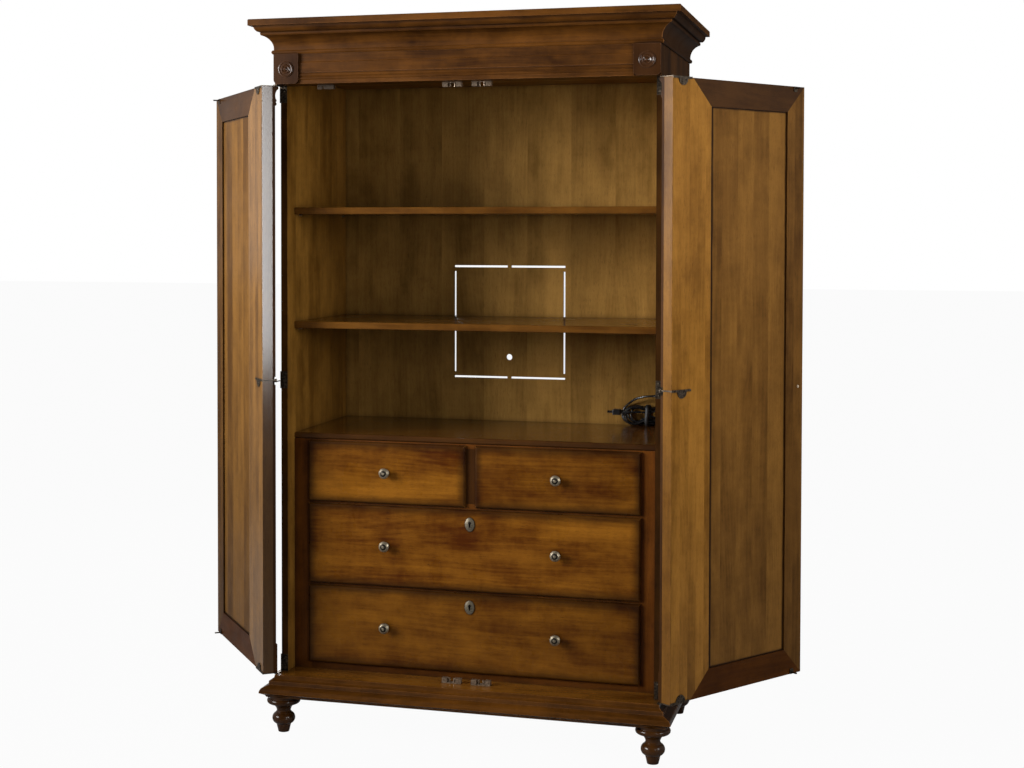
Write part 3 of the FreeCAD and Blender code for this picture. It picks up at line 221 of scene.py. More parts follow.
def wood(name, along, across, light, dark, gloss=0.4, coat=0.08, strip=9.0, strip_tone=0.0, hollow=0.5,
         arris=0.35, reach=0.02, rubbed=0.0, glaze=(0.02, 0.0085, 0.004), border=None, cover=0.0, edge=None,
         other=None, outside=None):
    """Stained and lacquered maple, darkened in its hollows by glaze and painted shade, and glazed along its
    arrises.

    rubbed paints the arrises pale: bare wood worn through and painted highlight. glaze is the dark colour,
    used for glaze and for painted shade. border is a width, a share of that dark and a softness, and cover
    is the width that a groove hides at one side. edge is the way an edge faces and its share of glaze.
    other is a second grain, along and across, and the boxes it fills. outside is a box and the two stains
    beyond it."""
    made, tree, shader = new_material(name.replace("_", " "))
    seed = zlib.crc32(name.encode())
    start = Vector((seed % 89, seed % 61, seed % 37)) * 0.37
    place = put(tree, "TexCoord").outputs["Object"]
    turn = to_board(along, across)
    board_place = put(tree, "Mapping", {"Vector": place, "Rotation": turn.to_euler()}).outputs[0]
    grain_place = board_place
    if other:
        second_turn = to_board(*other[:2]).to_euler()
        second_place = put(tree, "Mapping", {"Vector": place, "Rotation": second_turn}).outputs[0]
        swapped = 0.0
        for low, high in other[2:]:
            here = use(tree, inside_group, Low=low, High=high)["Inside"]
            swapped = reckon(tree, "MAXIMUM", here, swapped)
        places = {"Factor": swapped, 4: board_place, 5: second_place}
        grain_place = put(tree, "Mix", places, data_type="VECTOR").outputs[1]
    moved = reckon_vector(tree, "ADD", grain_place, start)
    figure = use(tree, figure_group, Place=moved, Strip=strip, Strip_Tone=strip_tone)
    hollows_and_arrises = use(tree, shade_and_glaze_group, Reach=reach)
    # The dark share: glaze and painted shade in hollows, glaze on arrises and edges, and the border's dark.
    glaze_and_shade_share = reckon(tree, "MULTIPLY", hollows_and_arrises["Hollow"], hollow)
    glaze_and_shade_share = reckon(tree, "MAXIMUM", glaze_and_shade_share, reckon(tree, "MULTIPLY", hollows_and_arrises["Arris"], arris))
    if edge:
        way, edge_share = edge
        normal = put(tree, "NewGeometry").outputs["Normal"]
        facing = put(tree, "VectorMath", {0: normal, 1: way}, operation="DOT_PRODUCT").outputs["Value"]
        glaze_and_shade_share = reckon(tree, "MAXIMUM", glaze_and_shade_share, ranged(tree, facing, 0.6, 0.9, 0.0, edge_share))
    if border:
        width, border_share, softness = border
        corners = [turn @ vertex.co for vertex in node[name].data.vertices]
        low = [min(corner[axis] for corner in corners) for axis in range(3)]
        high = [max(corner[axis] for corner in corners) for axis in range(3)]
        low[1] += cover
        near = use(tree, border_group, Place=board_place, Low=low, High=high, Width=width, Soft=softness)
        dark_border = reckon(tree, "MULTIPLY", near["Border"], border_share)
        glaze_and_shade_share = reckon(tree, "MAXIMUM", glaze_and_shade_share, dark_border)
    colour = mixed_colour(tree, figure["Tone"], dark, light)
    if outside:
        (low, high), outer_light, outer_dark = outside
        within = use(tree, inside_group, Low=low, High=high)["Inside"]
        outer = mixed_colour(tree, figure["Tone"], outer_dark, outer_light)
        colour = mixed_colour(tree, within, outer, colour)
    colour = mixed_colour(tree, reckon(tree, "MULTIPLY", figure["Pores"], 0.6), colour, glaze)
    colour = mixed_colour(tree, glaze_and_shade_share, colour, glaze)
    # Painted highlight and wear: arrises away from the hollows are painted pale, like worn bare wood
    # catching the light.
    if rubbed:
        bare_wood_and_highlight = tuple(min(1.0, part * 2.0 + 0.02) for part in light)
        shelter = reckon(tree, "MULTIPLY", hollows_and_arrises["Hollow"], 0.75)
        raised = reckon(tree, "MULTIPLY", hollows_and_arrises["Arris"], reckon(tree, "SUBTRACT", 1.0, shelter, True))
        colour = mixed_colour(tree, reckon(tree, "MULTIPLY", raised, rubbed), colour, bare_wood_and_highlight)
    tree.links.new(colour, shader["Base Color"])
    smudge = noise(tree, place, (6.0, 6.0, 6.0), 4.0, 0.6)
    rough = ranged(tree, smudge, 0.3, 0.7, gloss - 0.05, gloss + 0.07)
    rough = reckon(tree, "ADD", rough, reckon(tree, "MULTIPLY", figure["Pores"], 0.12))
    tree.links.new(rough, shader["Roughness"])
    raise_surface(tree, shader, figure["Height"], 0.12, 0.0006)
    shader["Coat Weight"].default_value = coat
    shader["Coat Roughness"].default_value = 0.16
    shader["Specular IOR Level"].default_value = 0.08
    return made


def finish_with(material, *names):
    """Give CAD pieces one finish."""
    for name in names:
        slots = node[name].material_slots
        if not slots:
            node[name].data.materials.append(material)
        for each in slots:
            each.material = material


def stain_piece(name, along, across, **finish):
    """Give one CAD piece a wood finish of its own."""
    made = wood(name, along, across, **finish)
    finish_with(made, name)
    return made


CASE_STAIN = {"light": (0.30, 0.142, 0.024), "dark": (0.122, 0.052, 0.007)}
CASE_OUTER_STAIN = ((0.085, 0.031, 0.0045), (0.025, 0.009, 0.0013))
INSIDE_FACES = ((0.5, -0.2215, 0.0), (0.5835, 1.0, 3.0))
for side in ("side_panel_left", "side_panel_right"):
    stain_piece(side, UPRIGHT, ALONG_Y, strip=0.11, strip_tone=0.16,
                outside=(INSIDE_FACES, *CASE_OUTER_STAIN), **CASE_STAIN)

# ---------------------------------------------------------------------------------------------
# The back: a thin veneered panel let in behind the shelves. Its leaves of veneer stand side by
# side, a little paler and greener than the case. Slots and a cable hole are cut through it.

BACK_STAIN = {"light": (0.40, 0.214, 0.050), "dark": (0.195, 0.099, 0.019)}
stain_piece("back_panel", UPRIGHT, ALONG_X, strip=0.145, strip_tone=0.12, gloss=0.45, **BACK_STAIN)

# ---------------------------------------------------------------------------------------------
# The floor, deck and shelves: level boards with a rounded nose, rubbed out to a higher gloss than
# the rest, so that the back and the cord show in the deck. The ceiling board is left satin.

LEVEL = {"along": ALONG_X, "across": ALONG_Y, "strip": 0.13, "strip_tone": 0.12}
SHELF_STAIN = {"light": (0.155, 0.061, 0.009), "dark": (0.060, 0.021, 0.003)}
DECK_STAIN = {"light": (0.130, 0.047, 0.007), "dark": (0.050, 0.017, 0.0025)}
# Painted light: the bottom board takes a paler stain than the shelves, where less lamp light reaches low
# down.
BOTTOM_BOARD_LIT_STAIN = {"light": (0.25, 0.098, 0.012), "dark": (0.085, 0.028, 0.003)}
stain_piece("bottom_board", gloss=0.2, coat=0.35, **BOTTOM_BOARD_LIT_STAIN, **LEVEL)
stain_piece("deck", gloss=0.16, coat=0.55, border=(0.03, 0.6, 1.0), **DECK_STAIN, **LEVEL)
for board in ("lower_shelf", "upper_shelf"):
    stain_piece(board, gloss=0.22, coat=0.35, **SHELF_STAIN, **LEVEL)
stain_piece("case_top", **CASE_STAIN, **LEVEL)

# ---------------------------------------------------------------------------------------------
# The shelf pegs: turned steel pins with a bright zinc plate, pushed into bored holes. The shelves
# only rest on them.

def plated(name, bright, worn, rough_low, rough_high, metallic, scale=160.0, rub=0.0, bump=0.1):
    """A metal finish that is dull in the open and rubbed bright along its arrises."""
    made, tree, shader = new_material(name)
    grain = noise(tree, put(tree, "TexCoord").outputs["Object"], (scale,) * 3, 4.0, 0.6)
    edge = use(tree, shade_and_glaze_group, Reach=0.006)
    share = ranged(tree, grain, 0.35, 0.7, 0.0, 0.8)
    share = reckon(tree, "ADD", share, reckon(tree, "MULTIPLY", edge["Arris"], rub), True)
    share = reckon(tree, "SUBTRACT", share, reckon(tree, "MULTIPLY", edge["Hollow"], 0.5), True)
    tree.links.new(mixed_colour(tree, share, worn, bright), shader["Base Color"])
    tree.links.new(ranged(tree, share, 0.0, 1.0, rough_high, rough_low), shader["Roughness"])
    raise_surface(tree, shader, grain, bump, 0.0003)
    shader["Metallic"].default_value = metallic
    return made


finish_with(plated("zinc plate", (0.62, 0.63, 0.64), (0.4, 0.4, 0.4), 0.25, 0.4, 1.0), "shelf_pegs")

# ---------------------------------------------------------------------------------------------
# The face frame: upright stiles and divider, and rails between them, doweled and glued flush.
# The divider between the upper drawers is stained darkest as painted shade between the drawers' lips, and
# the runners behind are bare boards.

FRAME_STAIN = ((0.172, 0.054, 0.006), (0.060, 0.0165, 0.0016))
DIVIDER_SHADE_STAIN = {"light": (0.060, 0.020, 0.003), "dark": (0.024, 0.008, 0.001)}
STILES = ((0.5071, -1.0, 0.0), (1.0, 1.0, 2.0))
DIVIDER = ((-1.0, -1.0, 0.7071), (0.0231, 1.0, 0.8729))
stain_piece("face_frame", ALONG_X, UPRIGHT, other=(UPRIGHT, ALONG_X, STILES, DIVIDER),
            outside=(DIVIDER, *FRAME_STAIN), hollow=0.9, reach=0.03, **DIVIDER_SHADE_STAIN)

BARE = {"light": (0.62, 0.46, 0.27), "dark": (0.42, 0.28, 0.14), "gloss": 0.6, "coat": 0.0, "hollow": 0.25,
        "arris": 0.1, "glaze": (0.2, 0.12, 0.06)}
stain_piece("drawer_runners", ALONG_Y, ALONG_X, **BARE)

# ---------------------------------------------------------------------------------------------
# The base: three lengths of one moulding with mitred corners, glaze and painted shade darkening its cove
# and quirks, and its arrises painted pale as wear and highlight.
# Blocks under the floor take the feet, which are turned from square stock.

# Mouldings: rubbed paints their arrises pale as wear and painted highlight, and their quirks darken with
# glaze and painted shade.
MOULDING = {"light": (0.130, 0.0455, 0.0058), "dark": (0.023, 0.0072, 0.0010), "gloss": 0.44, "coat": 0.02,
            "hollow": 1.0, "arris": 0.0, "rubbed": 0.8, "reach": 0.018}
BASE = {**MOULDING, "gloss": 0.26, "coat": 0.5, "rubbed": 1.0, "reach": 0.012}
FOOT = {**MOULDING, "light": (0.085, 0.031, 0.006), "gloss": 0.28, "coat": 0.6}
stain_piece("base_front", ALONG_X, UPRIGHT, **BASE)
for piece in ("base_return_left", "base_return_right"):
    stain_piece(piece, ALONG_Y, UPRIGHT, **BASE)
stain_piece("feet", UPRIGHT, ALONG_X, **FOOT)
stain_piece("foot_blocks", ALONG_X, UPRIGHT, **BARE)

# ---------------------------------------------------------------------------------------------
# The crown: frieze board, reeded moulding, three mitred lengths of cornice and a cap board. Its returns are
# stained darker as painted shade. The corner blocks carry turned rosettes, polished more than the blocks.

for piece in ("frieze_board", "frieze_moulding", "cornice_front", "cornice_cap"):
    stain_piece(piece, ALONG_X, UPRIGHT, **MOULDING)
RETURN_SHADE_STAIN = {"light": (0.040, 0.015, 0.003), "dark": (0.016, 0.006, 0.001)}
for piece in ("cornice_return_left", "cornice_return_right"):
    stain_piece(piece, ALONG_Y, UPRIGHT, **{**MOULDING, **RETURN_SHADE_STAIN})
HEAD_RAIL = ((0.0, -1.0, 0.0), (0.5641, 1.0, 3.0))
CROWN_RETURNS = ((0.5641, -1.0, 0.0), (1.0, 1.0, 3.0))
stain_piece("crown_frame", ALONG_X, UPRIGHT, other=(ALONG_Y, UPRIGHT, CROWN_RETURNS),
            outside=(HEAD_RAIL, *RETURN_SHADE_STAIN.values()), **MOULDING)

BLOCK_FRONT = -0.2825
# The rosettes' arrises are painted pale for glints on their rings: painted highlight and wear.
ROSETTE = {**MOULDING, "light": (0.050, 0.018, 0.0045), "reach": 0.009, "rubbed": 1.0}
tree = stain_piece("corner_rosettes", UPRIGHT, ALONG_X, **ROSETTE).node_tree
polish = ranged(tree, place_of(tree)["Y"], BLOCK_FRONT - 0.0012, BLOCK_FRONT - 0.0004, 0.6, 0.02)
tree.links.new(polish, tree.nodes["Principled BSDF"].inputs["Coat Weight"])

# ---------------------------------------------------------------------------------------------
# The drawers: solid fronts with the grain level, and boxes of bare boards. The fronts darken along their
# rounded lips, partly burnish and partly painted shade, and their lips' arrises are painted pale as
# highlights. Their knobs and keyhole plates are antiqued pewter.

DRAWER_STAIN = {"light": (0.275, 0.103, 0.0085), "dark": (0.066, 0.015, 0.0012)}
# The fronts' border is dark burnish and painted shade, and rubbed paints their lips' arrises pale as
# highlights.
DRAWER_FRONT = {"border": (0.034, 0.72, 1.0), "glaze": (0.008, 0.0034, 0.0016), "hollow": 1.0, "arris": 0.0,
                "rubbed": 0.55, "gloss": 0.3, "coat": 0.2}
# Each drawer's stain is scaled by a share: painted light, darker where less lamp light falls, at the right
# and at the bottom.
DRAWER_LIGHT_FALLOFF = {"top_left_drawer": 0.97, "top_right_drawer": 0.84, "middle_drawer": 1.04, "bottom_drawer": 0.82}
PEWTER_GRAIN = {"scale": 300.0, "rub": 0.5, "bump": 0.04}
KNOB_SPAN, KNOBS_BEYOND = 0.265, 0.2
PLATE_WITHIN, PLATE_BEFORE = 0.016, -0.17
PLATE_HALF_WIDTH, PLATE_HALF_HEIGHT = 0.015, 0.021
EYE_RISE, SLOT_DROP, SLOT_HALF_LENGTH, SLOT_HALF_WIDTH = 0.0045, 0.0030, 0.0062, 0.0026
# The upper drawers have no plate, so its middle lies out of their reach.
NO_PLATE = 9.0


def scaled_stain(stain, share):
    """The same stain with both its colours scaled by a share."""
    return {name: tuple(part * share for part in colour) for name, colour in stain.items()}


def radius_from(tree, across, up):
    """How far a point is from a middle, given how far it is across and up."""
    squares = [reckon(tree, "POWER", part, 2.0) for part in (across, up)]
    return reckon(tree, "SQRT", reckon(tree, "ADD", *squares))


def colour_so_far(shader):
    """The colour that feeds a shader."""
    return shader["Base Color"].links[0].from_socket


def antique_pewter(name, knob_height, plate_height):
    """Pewter with black left in its hollows, rings turned in the knobs, and on the domed plate tarnish at
    its rim and the hole for the key painted dark as painted shade.
    """
    made = plated(name, (0.52, 0.45, 0.32), (0.22, 0.18, 0.125), 0.32, 0.48, 0.75, **PEWTER_GRAIN)
    tree = made.node_tree
    shader = tree.nodes["Principled BSDF"].inputs
    parts = place_of(tree)
    aside = reckon(tree, "SUBTRACT", reckon(tree, "ABSOLUTE", parts["X"]), KNOB_SPAN)
    radius = radius_from(tree, aside, reckon(tree, "SUBTRACT", parts["Z"], knob_height))
    rim = ranged(tree, radius, 0.0085, 0.0105)
    boss = ranged(tree, radius, 0.0035, 0.0052, 1.0, 0.0)
    raised = reckon(tree, "MAXIMUM", rim, boss)
    patina = mixed_colour(tree, raised, (0.022, 0.017, 0.012), colour_so_far(shader))
    black = ranged(tree, use(tree, shade_and_glaze_group, Reach=0.012)["Hollow"], 0.55, 0.95)
    patina = mixed_colour(tree, black, patina, (0.006, 0.005, 0.004))
    level = reckon(tree, "SUBTRACT", parts["Z"], plate_height)
    # Painted shade: the hole for the key, a round eye over a slot, painted dark on the plate.
    eye = radius_from(tree, reckon(tree, "SUBTRACT", level, EYE_RISE), parts["X"])
    along = reckon(tree, "ABSOLUTE", reckon(tree, "ADD", level, SLOT_DROP))
    along = reckon(tree, "DIVIDE", along, SLOT_HALF_LENGTH)
    beside = reckon(tree, "DIVIDE", reckon(tree, "ABSOLUTE", parts["X"]), SLOT_HALF_WIDTH)
    slot = ranged(tree, reckon(tree, "MAXIMUM", along, beside), 0.8, 1.2, 1.0, 0.0)
    keyhole_shade = reckon(tree, "MAXIMUM", ranged(tree, eye, 0.0040, 0.0052, 1.0, 0.0), slot)
    wide = reckon(tree, "POWER", reckon(tree, "DIVIDE", parts["X"], PLATE_HALF_WIDTH), 2.0)
    tall = reckon(tree, "POWER", reckon(tree, "DIVIDE", level, PLATE_HALF_HEIGHT), 2.0)
    outward = reckon(tree, "ADD", wide, tall)
    tarnish_and_keyhole_shade = reckon(tree, "MAXIMUM", ranged(tree, outward, 0.75, 1.0, 0.35, 0.75), keyhole_shade)
    tarnish_and_keyhole_shade = reckon(tree, "MULTIPLY", tarnish_and_keyhole_shade, reckon(tree, "LESS_THAN", outward, 1.05))
    tree.links.new(mixed_colour(tree, tarnish_and_keyhole_shade, patina, (0.012, 0.009, 0.006)), shader["Base Color"])
    dome = reckon(tree, "MULTIPLY", ranged(tree, outward, 0.0, 1.05, 1.0, 0.0, "LINEAR"), 2.6)
    raise_surface(tree, shader, reckon(tree, "ADD", raised, dome), 1.0, 0.0012)
    return made


for drawer, share in DRAWER_LIGHT_FALLOFF.items():
    stain_piece(drawer + "_front", ALONG_X, UPRIGHT, **DRAWER_FRONT, **scaled_stain(DRAWER_STAIN, share))
    stain_piece(drawer + "_box", ALONG_Y, ALONG_X, **BARE)
    fittings = [vertex.co for vertex in node[drawer + "_fittings"].data.vertices]
    knob = [corner.z for corner in fittings if abs(corner.x) > KNOBS_BEYOND or drawer.startswith("top")]
    plate = [corner.z for corner in fittings if abs(corner.x) < PLATE_WITHIN and corner.y < PLATE_BEFORE]
    plate_height = (min(plate) + max(plate)) / 2 if plate else NO_PLATE
    pewter = antique_pewter(drawer + " pewter", (min(knob) + max(knob)) / 2, plate_height)
    finish_with(pewter, drawer + "_fittings")

# ---------------------------------------------------------------------------------------------
# The doors: frames mitred at the corners round a raised panel, with a fluted pilaster on the
# hinged side. Stiles and panel have the grain upright, and the rails have it along the leaf.

PANEL_STAIN = {"light": (0.275, 0.125, 0.024), "dark": (0.120, 0.050, 0.009)}
HINGE_STILE_STAIN = {"left": {"light": (0.38, 0.176, 0.036), "dark": (0.17, 0.072, 0.012)},
                     "right": {"light": (0.41, 0.180, 0.027), "dark": (0.18, 0.072, 0.008)}}
MEETING_STILE_STAIN = {"light": (0.21, 0.092, 0.018), "dark": (0.08, 0.032, 0.006)}
# The rails' darker stains are painted shade, for the duller sheen across their grain.
RAIL_SHADE_STAIN = {"light": (0.075, 0.029, 0.006), "dark": (0.028, 0.0095, 0.002)}
LOW_RAIL_SHADE_STAIN = {"light": (0.110, 0.033, 0.003), "dark": (0.036, 0.009, 0.0008)}
RAIL_GLAZE = (0.02, 0.0065, 0.0012)
# The pilaster's stain is darker than the mouldings' as painted shade.
PILASTER_IN_SHADE = {**MOULDING, "light": (0.070, 0.025, 0.004), "dark": (0.024, 0.008, 0.0015), "gloss": 0.5,
            "coat": 0.0, "rubbed": 0.2}
# Painted shade: the width of the dark line round each panel where the frame shades it, and the width its
# groove hides.
PANEL_SHADE_WIDTH, PANEL_IN_GROOVE = 0.0165, 0.009
# The way from each door's hinges to its free edge, as it stands folded back.
LEAF_WAY = {"left": math.radians(180 - 53), "right": math.radians(55.4)}

for hand, bearing in LEAF_WAY.items():
    leaf = Vector((math.cos(bearing), math.sin(bearing), 0))
    # Painted shade: the left leaf's stiles and panel are scaled darker than the right's.
    share = {"left": 0.82, "right": 1.0}[hand]
    hinge_coat, edge_share, strip_tone = {"left": (1.0, 0.7, 0.3), "right": (0.3, 0.4, 0.12)}[hand]
    for piece, stain, coat, edge in (
            ("hinge_stile", HINGE_STILE_STAIN[hand], hinge_coat, (-leaf, edge_share)),
            ("meeting_stile", MEETING_STILE_STAIN, 0.12, None)):
        stain_piece(f"{hand}_door_{piece}", UPRIGHT, leaf, strip=0.034, strip_tone=strip_tone, gloss=0.33,
                    coat=coat, hollow=0.9, edge=edge, **scaled_stain(stain, share))
    stain_piece(f"{hand}_door_pilaster", UPRIGHT, leaf, **PILASTER_IN_SHADE)
    # Rails: darker stains as painted shade.
    for piece, stain, coat in (("top_rail", RAIL_SHADE_STAIN, 0.3), ("bottom_rail", LOW_RAIL_SHADE_STAIN, 0.05)):
        stain_piece(f"{hand}_door_{piece}", leaf, UPRIGHT, gloss=0.33, coat=coat, hollow=0.6,
                    glaze=RAIL_GLAZE, **stain)
    # The panel's border is painted shade along the frame.
    stain_piece(f"{hand}_door_panel", UPRIGHT, leaf, strip=0.07, strip_tone=0.34, gloss=0.33, coat=0.12,
                border=(PANEL_SHADE_WIDTH, 1.0, 0.4), cover=PANEL_IN_GROOVE, hollow=1.0,
                **scaled_stain(PANEL_STAIN, share))
    knob_pewter = plated(f"{hand} knob pewter", (0.50, 0.47, 0.41), (0.20, 0.18, 0.155), 0.25, 0.42, 0.95,
                         **PEWTER_GRAIN)
    finish_with(knob_pewter, f"{hand}_door_knob")

# ---------------------------------------------------------------------------------------------
# The hinges: steel leaves and straps with a dark bronze finish, worn through on their corners.
# Cross-head screws hold the leaves to the case's front edges and the straps' tabs to the doors.

bronze = plated("dark bronze", (0.19, 0.145, 0.10), (0.030, 0.022, 0.016), 0.3, 0.5, 0.85, rub=0.5)
finish_with(bronze, "hinge_leaves_left", "hinge_leaves_right", "left_door_straps", "right_door_straps")

ROUND_SIDES = 32
SCREW_HEAD, CROSS_DEPTH = 0.0034, 0.0007
# Distance along the screw, and radius as a share of the head's.
SCREW_OUTLINE = ((-0.0012, 0), (-0.0012, 0.7), (0.0, 1.0), (0.0004, 0.97), (0.0009, 0.75), (0.0011, 0.55),
                 (0.00125, 0.3), (0.0013, 0))
LEAF_SCREW_ASIDE, LEAF_SCREW_FRONT = 0.574, -0.2225
LEAF_SCREW_HEIGHTS = (1.926, 1.950, 1.055, 1.089, 0.194, 0.218)
STRAP_TAB = {"left": (-0.6434, -0.26045), "right": (0.6431, -0.25795)}
STRAP_SCREW_HEIGHTS = (1.952, 1.0635, 0.192)
INNER_FACE_WAY = {"left": (-0.799, -0.602, 0), "right": (0.823, -0.568, 0)}


def add_object(name, data):
    """Put a new object in the scene."""
    made = bpy.data.objects.new(name, data)
    bpy.context.scene.collection.objects.link(made)
    return made


def add_piece(name, shape, material):
    """Make a smooth piece of one material from a shape that is drawn in place."""
    bmesh.ops.recalc_face_normals(shape, faces=shape.faces)
    mesh = bpy.data.meshes.new(name)
    shape.to_mesh(mesh)
    shape.free()
    mesh.shade_smooth()
    mesh.materials.append(material)
    return add_object(name, mesh)


def turned(name, outline, place, along, material, cross=()):
    """A round piece turned about a line. The outline gives distances along the line and radii.

    The rings numbered in cross are sunk along two lines, as the head of a cross-head screw is."""
    aim = Vector(along).to_track_quat("Z", "Y")
    shape = bmesh.new()
    rings = []
    for number, (step, radius) in enumerate(outline):
        ring = []
        for side in range(ROUND_SIDES if radius else 1):
            sunk = CROSS_DEPTH if number in cross and side % (ROUND_SIDES // 4) == 0 else 0.0
            angle = 2 * math.pi * side / ROUND_SIDES
            offset = Vector((radius * math.cos(angle), radius * math.sin(angle), step - sunk))
            ring.append(shape.verts.new(Vector(place) + aim @ offset))
        rings.append(ring)
    for first, second in zip(rings, rings[1:]):
        for side in range(ROUND_SIDES):
            following = (side + 1) % ROUND_SIDES
            corners = [first[side % len(first)], first[following % len(first)],
                       second[following % len(second)], second[side % len(second)]]
            shape.faces.new(list(dict.fromkeys(corners)))
    return add_piece(name, shape, material)


def screw(name, place, along, body, material):
    """A cross-head screw with an oval head, driven home."""
    outline = [(step, SCREW_HEAD * share) for step, share in SCREW_OUTLINE]
    made = turned(name, outline, place, along, material, cross=(5, 6, 7))
    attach(made, body)


for hand, side in (("left", -1), ("right", 1)):
    for number, height in enumerate(LEAF_SCREW_HEIGHTS):
        screw(f"{hand}_leaf_screw_{number + 1}", (side * LEAF_SCREW_ASIDE, LEAF_SCREW_FRONT, height),
              (0, -1, 0), "case", bronze)
    for number, height in enumerate(STRAP_SCREW_HEIGHTS):
        screw(f"{hand}_strap_screw_{number + 1}", (*STRAP_TAB[hand], height), INNER_FACE_WAY[hand],
              f"{hand}_door", bronze)

# ---------------------------------------------------------------------------------------------
# The catches: pressed nickel-plated cases with two rollers each, screwed under the head rail and
# on the floor. The small stay under the head rail at the left is dark.

STAY_EDGE = -0.3
CATCH_SCREW_ASIDE, CATCH_SCREW_FRONT = 0.045, -0.2095
# Side, height and the way up or down that each screw's head faces.
CATCH_SCREWS = ((-1, 1.966, -1), (1, 1.966, -1), (-1, 0.178, 1), (1, 0.178, 1))
nickel = plated("nickel plate", (0.42, 0.32, 0.23), (0.14, 0.095, 0.06), 0.25, 0.45, 0.5, rub=0.5)
finish_with(nickel, "door_catches")
tree = nickel.node_tree
shader = tree.nodes["Principled BSDF"].inputs
on_stay = reckon(tree, "LESS_THAN", place_of(tree)["X"], STAY_EDGE)
darkened = mixed_colour(tree, on_stay, colour_so_far(shader), (0.055, 0.036, 0.022))
tree.links.new(darkened, shader["Base Color"])
for number, (side, height, way) in enumerate(CATCH_SCREWS):
    screw(f"catch_screw_{number + 1}", (side * CATCH_SCREW_ASIDE, CATCH_SCREW_FRONT, height), (0, 0, way),
          "case", nickel)

# ---------------------------------------------------------------------------------------------
# The bumper: a pale felt-topped disc stuck inside the right door near its free edge, which lands
# on the other door's rebate.

BUMPER_PLACE = (0.9377, 0.1724, 1.0564)
BUMPER_OUTLINE = ((-0.0005, 0), (-0.0005, 0.0046), (0.0012, 0.0046), (0.0021, 0.0041), (0.0026, 0.0028),
                  (0.0028, 0.0012), (0.0028, 0))
felt, tree, shader = new_material("pale felt")
tuft = noise(tree, put(tree, "TexCoord").outputs["Object"], (2600.0,) * 3, 3.0)
tree.links.new(mixed_colour(tree, tuft, (0.38, 0.27, 0.16), (0.80, 0.66, 0.48)), shader["Base Color"])
raise_surface(tree, shader, tuft, 0.6, 0.0004)
shader["Roughness"].default_value = 0.9
bumper = turned("right_bumper", BUMPER_OUTLINE, BUMPER_PLACE, INNER_FACE_WAY["right"], felt)
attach(bumper, "right_door")

# ---------------------------------------------------------------------------------------------
# The outlet: a dark moulded box screwed to the case's right side, on the inside. Its lead leaves
# through a tapered gland.

def moulded(name, colour, rough, bump=0.15, scale=900.0, coat=0.0):
    """A moulded plastic with a fine grain and faint rubbed patches."""
    made, tree, shader = new_material(name)
    place = put(tree, "TexCoord").outputs["Object"]
    grain = noise(tree, place, (scale,) * 3, 2.0)
    rubbed = noise(tree, place, (30.0, 30.0, 30.0), 3.0)
    paler = tuple(part * 1.6 + 0.001 for part in colour)
    tint = mixed_colour(tree, ranged(tree, rubbed, 0.35, 0.7), colour, paler)
    tree.links.new(tint, shader["Base Color"])
    tree.links.new(ranged(tree, rubbed, 0.3, 0.7, rough + 0.08, rough - 0.04), shader["Roughness"])
    raise_surface(tree, shader, grain, bump, 0.0002)
    shader["Coat Weight"].default_value = coat
    return made


finish_with(moulded("dark housing", (0.022, 0.019, 0.017), 0.45), "outlet_box")

# ---------------------------------------------------------------------------------------------
# The cord: black PVC flex, 7 mm thick, from the outlet's gland down to a hank of five turns that
# stands against the back, tied once, with its moulded plug sticking out at the left.

FLEX_RADIUS = 0.0035
GLAND, PLUG_ENTRY = Vector((0.504, 0.2775, 1.004)), Vector((0.378, 0.2812, 0.950))
LEAD = ((0, 0, 0), (-0.030, 0, 0), (-0.062, 0.008, -0.005), (-0.090, 0.022, -0.016),
        (-0.110, 0.036, -0.033))
DECK_TOP, OVER_DECK, FIRST_TURN, PITCH = 0.905, 0.005, 0.3187, 0.0075
# Left end, right end, radius at the left and at the right, rise, lift of the lower run, sag of the upper.
TURNS = (
    (0.3765, 0.5500, 0.0285, 0.0280, 0.0000, 0.012, 0.008),
    (0.3960, 0.5440, 0.0260, 0.0265, 0.0060, 0.026, 0.014),
    (0.3840, 0.5500, 0.0275, 0.0280, 0.0000, 0.006, 0.018),
    (0.4080, 0.5465, 0.0260, 0.0265, 0.0060, 0.016, 0.008),
    (0.3920, 0.5500, 0.0270, 0.0275, 0.0010, 0.022, 0.014),
    (0.4050, 0.5490, 0.0250, 0.0250, 0.0000, 0.000, 0.000),
)
# The bends' control points lie this far out, as shares of the radius, for the flex to follow it.
BEND_END, BEND_CORNER, BEND_TOP = 1.085, 0.767, 1.055
TAIL = ((0.428, 0.9510), (0.404, 0.9500), (0.378, 0.9500))

